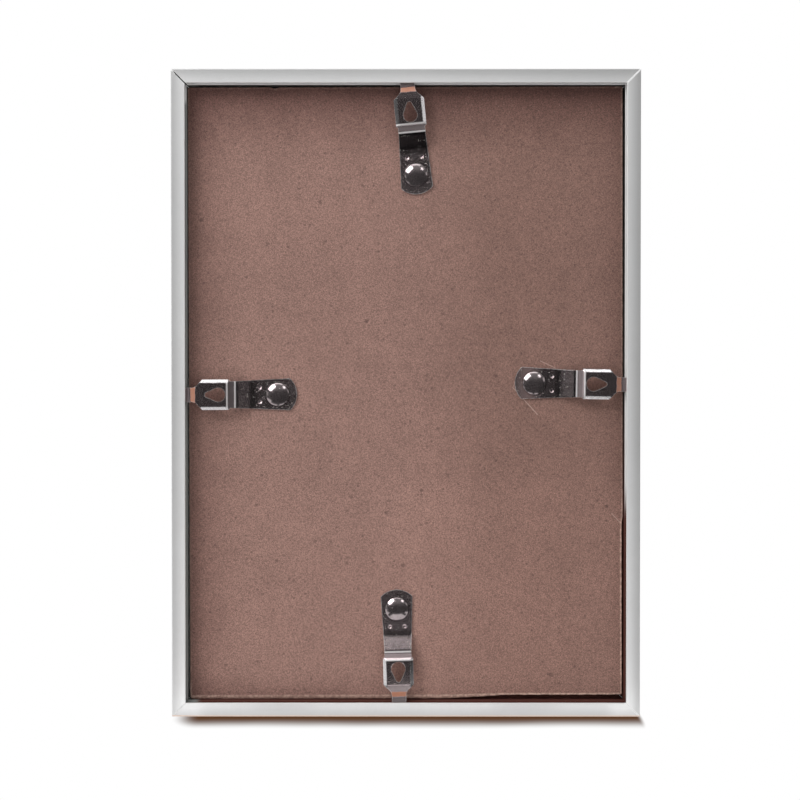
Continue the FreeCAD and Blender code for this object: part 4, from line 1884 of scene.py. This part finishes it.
@dataclass
class RivetSet:
    """Four domed rivets with clinched tails, set by a recipe on their centres."""

    head_radius: float = 5.65 * MM
    head_height: float = 2.3 * MM
    head_rim: float = 0.35 * MM
    rim_radius: float = 0.14 * MM
    head_seat: float = 0.90 * MM
    shank_radius: float = 2.4 * MM
    tail_seat: float = -1.9 * MM
    tail_thickness: float = 0.45 * MM
    tail_radius: float = 3.4 * MM
    tail_edge: float = 0.2 * MM
    bore_radius: float = 1.5 * MM
    bore_depth: float = 1.6 * MM
    dome_steps: int = 14
    round_steps: int = 72
    turn_step: float = 1.9

    def profile(self) -> list[tuple[float, float]]:
        """Radius and height of the rivet's outline, from its crown to the foot of its bore."""
        head, rim, seat, tail = self.head_radius, self.rim_radius, self.head_seat, self.tail_radius
        crown = self.head_height - self.head_rim
        sphere = (head ** 2 + crown ** 2) / (2 * crown)
        edge_angle = math.asin(head / sphere)
        centre = seat + self.head_height - sphere
        points = []
        for step in range(self.dome_steps + 1):
            angle = edge_angle * 0.985 * step / self.dome_steps
            points.append((sphere * math.sin(angle), centre + sphere * math.cos(angle)))
        rim_centre = seat + self.head_rim - rim / 2
        for turn in (35, 60, 90):
            angle = math.radians(turn)
            points.append((head - rim + rim * math.sin(angle), rim_centre + rim * math.cos(angle)))
        tail_end = self.tail_seat - self.tail_thickness
        points += [
            (head, seat + rim / 2),
            (head - rim / 2, seat),
            (self.shank_radius, seat),
            (self.shank_radius, self.tail_seat),
            (tail, self.tail_seat),
            (tail, tail_end + self.tail_edge),
            (tail - self.tail_edge, tail_end),
            (self.bore_radius, tail_end),
            (self.bore_radius, tail_end + self.bore_depth),
            (0.0, tail_end + self.bore_depth),
        ]
        return points

    def set_recipe(self) -> Recipe:
        """Tree that sets one rivet on each point, each turned a little further."""
        inputs = {"Turn Step": ("Float", self.turn_step), "Rivet": ("Object", None)}
        recipe = Recipe("set_rivets", {**inputs, "Finish": ("Material", None)})
        given = recipe.given
        rivet = recipe.add("GeometryNodeObjectInfo", {"Object": given["Rivet"]})
        number = recipe.add("GeometryNodeInputIndex")
        turn = recipe.joined(0.0, recipe.times(number, given["Turn Step"]), 0.0)
        sockets = {"Points": given["Geometry"], "Instance": rivet.outputs["Geometry"], "Rotation": turn}
        standing = recipe.add("GeometryNodeInstanceOnPoints", sockets)
        recipe.finish(standing, [(given["Finish"], True)])
        return recipe

    def build(self, places: Places, finish: Material) -> None:
        """Make the rivets as one piece.

        Args:
            places: Rivet centre on the board, and turn, of each clip.
            finish: Their material.
        """
        rivet = linked("one_rivet", new_mesh("one_rivet", *lathe(self.profile(), self.round_steps)))
        centres = bpy.data.meshes.new("rivet_centres")
        centres.from_pydata([tuple(place) for place, _ in places.values()], [], [])
        holder = linked("rivet_centres", centres)
        self.set_recipe().apply(holder, {"Rivet": rivet, "Finish": finish})
        mesh = smoothed(baked(holder, "dome_rivets"), 42)
        bpy.data.objects.remove(rivet)
        add_piece(mesh, Body.FRAME, Slot.RIVET, *(f"rivet_{side.value}" for side in places))


# Pieces that keep the construction's shape


@dataclass
class InsertSheet:
    """The paper behind the glass, faintly rippled and a hair clear of the pane."""

    air: float = 0.05 * MM
    ripple: float = 0.03 * MM
    cell: float = 7 * MM

    def build(self, finish: Material) -> None:
        """Add the sheet.

        Args:
            finish: Material of the paper.
        """
        low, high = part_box("insert_sheet")
        across = max(1, round((high.x - low.x) / self.cell))
        up = max(1, round((high.z - low.z) / self.cell))
        front, rear = [], []
        stride = across + 1
        count = stride * (up + 1)
        for row, column in (divmod(number, stride) for number in range(count)):
            x = low.x + (high.x - low.x) * column / across
            z = low.z + (high.z - low.z) * row / up
            wave = (1 + math.sin(x * 61 + 0.7) * math.sin(z * 47 + 1.9)) / 2
            front.append((x, low.y + self.air + self.ripple * wave, z))
            rear.append((x, high.y, z))
        faces = []
        for row in range(up):
            for column in range(across):
                first = row * stride + column
                square = (first, first + 1, first + stride + 1, first + stride)
                faces += [square, tuple(number + count for number in reversed(square))]
        rim = [*range(across), *(row * stride + across for row in range(up))]
        rim += [up * stride + column for column in range(across, 0, -1)]
        rim += [row * stride for row in range(up, 0, -1)]
        for index, after in enumerate(rim):
            before = rim[index - 1]
            faces.append((after, before, before + count, after + count))
        mesh = new_mesh("plain_insert", front + rear, faces)
        mesh.materials.append(finish)
        add_piece(smoothed(mesh, 40), Body.FRAME, Slot.PAPER, "insert_sheet")


@dataclass
class InnerPieces:
    """Glass, corner keys and washers, which keep their shape and get their finish, and the insert."""

    corners: tuple[str, ...] = ("top_left", "bottom_left", "bottom_right", "top_right")

    def dress(self, node: str, finish: Material) -> None:
        """Give one node its material.

        Args:
            node: The node's name.
            finish: The material.
        """
        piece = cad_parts[node]
        piece.data.materials.clear()
        piece.data.materials.append(finish)
        log.info("%s: dressed in %s", node, finish.name)

    def build(self) -> None:
        """Dress them all."""
        self.dress("glass_pane", PaneGlass().make())
        InsertSheet().build(InsertPaper().make())
        casting = SANDY_CASTING.make()
        for corner in self.corners:
            self.dress(f"corner_key_{corner}", casting)
        steel = ZINC_STEEL.make()
        for side in Side:
            self.dress(f"washer_{side.value}", steel)


# Studio


@dataclass
class SoftBox:
    """One soft lamp, placed by its angles as seen from the back of the frame."""

    name: str
    off_axis_deg: float
    clock_deg: float
    distance: float
    width: float
    depth: float
    radiance: float

    def build(self) -> None:
        """Add the lamp, aimed at the object's centre."""
        off_axis = math.radians(self.off_axis_deg)
        clock = math.radians(self.clock_deg)
        aside = math.sin(off_axis)
        away = Vector((-aside * math.cos(clock), math.cos(off_axis), aside * math.sin(clock)))
        lamp = bpy.data.lights.new(self.name, "AREA")
        lamp.shape = "RECTANGLE"
        lamp.size = self.width
        lamp.size_y = self.depth
        lamp.energy = self.radiance * math.pi * self.width * self.depth
        made = linked(self.name, lamp)
        made.location = away * self.distance
        outward = Vector((-math.cos(clock), 0, math.sin(clock)))
        tangent = away.cross(outward).normalized()
        upward = away.cross(tangent).normalized()
        made.rotation_mode = "QUATERNION"
        made.rotation_quaternion = Matrix((tangent, upward, away)).transposed().to_quaternion()
        made.visible_camera = False


@dataclass
class Studio:
    """Pale floor, white backdrop, soft lamps and the photograph's camera."""

    floor_height: float
    floor_size: float = 6.0
    ambient: float = 0.42
    dark_side: float = 0.026
    bright_ceiling: float = 0.24
    bright_table: float = 62 * MM
    shadow_reach: float = 35 * MM
    shadow_colour: Colour = (0.110, 0.050, 0.024)
    camera_distance: float = 1.0
    camera_rise_deg: float = 1.07
    camera_aside_deg: float = -0.115
    aim: tuple[float, float, float] = (2.85 * MM, 6.5 * MM, -3.09 * MM)
    lens: float = 92.45
    sensor: float = 36.0

    def build_world(self) -> None:
        """White all round for the camera; for gloss, white behind the object and dark before it."""
        world = bpy.data.worlds.new("studio")
        world.use_nodes = True
        bpy.context.scene.world = world
        wiring = Wiring(world.node_tree)
        world.node_tree.nodes.clear()
        path = wiring.add("ShaderNodeLightPath").outputs
        direction = wiring.add("ShaderNodeTexCoord").outputs["Generated"]
        _, depth, rise = wiring.parts(direction)
        behind = wiring.eased(depth, -0.02, -0.20)
        mirrored = wiring.most(path["Is Glossy Ray"], path["Is Transmission Ray"])
        white = wiring.most(path["Is Camera Ray"], wiring.times(mirrored, behind))
        room = wiring.eased(rise, 0.12, 0.95, self.dark_side, self.bright_ceiling)
        room = wiring.varied(room, (wiring.noise(direction, 2.2), 1.2, 0.4))
        fill = wiring.add("ShaderNodeMix", {0: mirrored, 2: self.ambient, 3: room}, data_type="FLOAT")
        level = wiring.add("ShaderNodeMix", {0: white, 2: fill.outputs[0], 3: 1.0}, data_type="FLOAT")
        light = wiring.add("ShaderNodeBackground", {0: (1.0, 1.0, 1.0, 1.0), 1: level.outputs[0]})
        wiring.add("ShaderNodeOutputWorld", {0: light})

    def floor_material(self) -> Material:
        """Pale floor, white away from the object, with a painted shadow near its foot for the camera and a
        painted bright table near it in glossy reflections.
        """
        made = Finish("pale_floor", Metallic=0.0, Roughness=0.9, Specular_IOR_Level=0.0)
        x, y, _ = made.parts(made.place)
        path = made.add("ShaderNodeLightPath").outputs
        made.set(Base_Color=(0.86, 0.86, 0.86))
        half_width, half_depth, _ = CAD_BOX[1]
        # painted shadow for camera rays: brown at the object's foot, fading out with distance
        left_gap = made.most(made.minus(x, half_width - 15 * MM), 0.0)
        right_gap = made.most(made.minus(-half_width + 2 * MM, x), 0.0)
        side_gap = made.scaled(left_gap, 2.4, made.times(right_gap, 10.0))
        depth_gap = made.most(made.minus(made.size(y), half_depth), 0.0)
        gap = made.far(side_gap, depth_gap)
        uneven = made.scaled(made.noise(made.place, 18.0), 8 * MM, -4 * MM)
        clear = made.math("POWER", made.eased(made.plus(gap, uneven), 0.0, self.shadow_reach), 1.7)
        tint = made.blend(clear, self.shadow_colour, (1.0, 1.0, 1.0))
        seen = made.add("ShaderNodeEmission", {0: tint, 1: 1.0})
        # painted reflection for glossy rays: a bright table near the object, dark further off
        reach = made.where((x, -150, -115, 0.0, self.bright_table))
        slit = made.where((made.size(made.minus(made.size(x), 62 * MM)), 12, 20, 0.25, 1.0))
        reach = made.scaled(reach, slit, made.where((x, 200, 240, 0.0, 90 * MM)))
        bright = made.eased(made.minus(y, reach), 0.0, 14 * MM, 0.92, self.dark_side)
        table = made.add("ShaderNodeEmission", {0: (1.0, 1.0, 1.0, 1.0), 1: bright})
        mixed = made.add("ShaderNodeMixShader", {0: path["Is Glossy Ray"], 1: made.shader, 2: table})
        mixed = made.add("ShaderNodeMixShader", {0: path["Is Camera Ray"], 1: mixed, 2: seen})
        made.feed(made.output.inputs[0], mixed)
        return made.material

    def build_floor(self) -> None:
        """Add the floor under the object."""
        half = self.floor_size / 2
        corners = [(-half, -half), (half, -half), (half, half), (-half, half)]
        mesh = new_mesh("pale_floor", [(x, y, self.floor_height) for x, y in corners], [(0, 1, 2, 3)])
        mesh.materials.append(self.floor_material())
        linked("pale_floor", mesh)

    def build_camera(self) -> None:
        """Add the camera at the photograph's viewing angle."""
        rise = math.radians(self.camera_rise_deg)
        aside = math.radians(self.camera_aside_deg)
        level = math.cos(rise)
        away = Vector((math.sin(aside) * level, math.cos(aside) * level, math.sin(rise)))
        lens = bpy.data.cameras.new("photo_view")
        lens.lens = self.lens
        lens.sensor_width = self.sensor
        lens.clip_start = 0.01
        lens.clip_end = 20.0
        camera = linked("photo_view", lens)
        camera.location = Vector(self.aim) + away * self.camera_distance
        camera.rotation_mode = "QUATERNION"
        camera.rotation_quaternion = away.to_track_quat("Z", "Y")
        bpy.context.scene.camera = camera

    def build(self) -> None:
        """Set up the whole studio."""
        self.build_world()
        self.build_floor()
        self.build_camera()
        SoftBox("key_softbox", 59, 134, 2.10, 1.36, 0.92, 7.6).build()
        SoftBox("side_softbox", 59, 50, 2.10, 0.50, 0.46, 3.4).build()
        SoftBox("top_strip", 71, 90, 2.10, 1.60, 0.40, 1.7).build()
        SoftBox("left_strip", 71, 178, 1.05, 0.30, 0.22, 0.5).build()
        SoftBox("right_strip", 71, 17, 1.05, 0.30, 0.20, 0.8).build()
        bpy.context.scene.view_settings.view_transform = "Standard"
        log.info("studio: floor at %.1f mm", self.floor_height / MM)


def clip_places(board: BackingBoard) -> Places:
    """Rivet centre on the board's rear face, and turn about it, of each clip.

    Args:
        board: The backing board, which gives the rear plane.

    Returns:
        Place and turn of each side's clip.
    """
    turns = {Side.TOP: -84.5, Side.LEFT: 0.3, Side.RIGHT: 179.1, Side.BOTTOM: 91.5}
    places = {}
    for side, turn in turns.items():
        middle = rivet_centre(side)
        places[side] = (Vector((middle.x, board.rear, middle.z)), math.radians(turn))
    return places


def scored_lines() -> list[tuple[Vector, Vector, float]]:
    """Lines scored into the board by the right clip, and one that runs to the step of its right edge."""
    level = -0.3
    lines = [
        ((-52.4, 2.9), (-64.4, -10.2), 0.42),
        ((-52.6, 3.4), (-56.2, 12.6), 0.30),
        ((-65.9, 15.9), (-73.4, 12.4), 0.34),
        ((-101.0, -58.9), (-105.3, -63.6), 0.36),
    ]
    return [
        (Vector((start[0], level, start[1])) * MM, Vector((finish[0], level, finish[1])) * MM, width * MM)
        for start, finish, width in lines
    ]


def main() -> None:
    """Build every piece and the studio in order."""
    logging.basicConfig(level=logging.INFO, format="%(message)s")
    board = BackingBoard()
    places = clip_places(board)
    RailFrame().build(SatinAluminium().make())
    board.build(Hardboard().make(scored_lines()), FibreFinish().make())
    TurningClip().build(places, ClipPlating().make(), ShearedSteel().make())
    RivetSet().build(places, RivetPlating().make())
    InnerPieces().build()
    Studio(floor_height=CAD_BOX[0].z).build()


if __name__ == "__main__":
    main()
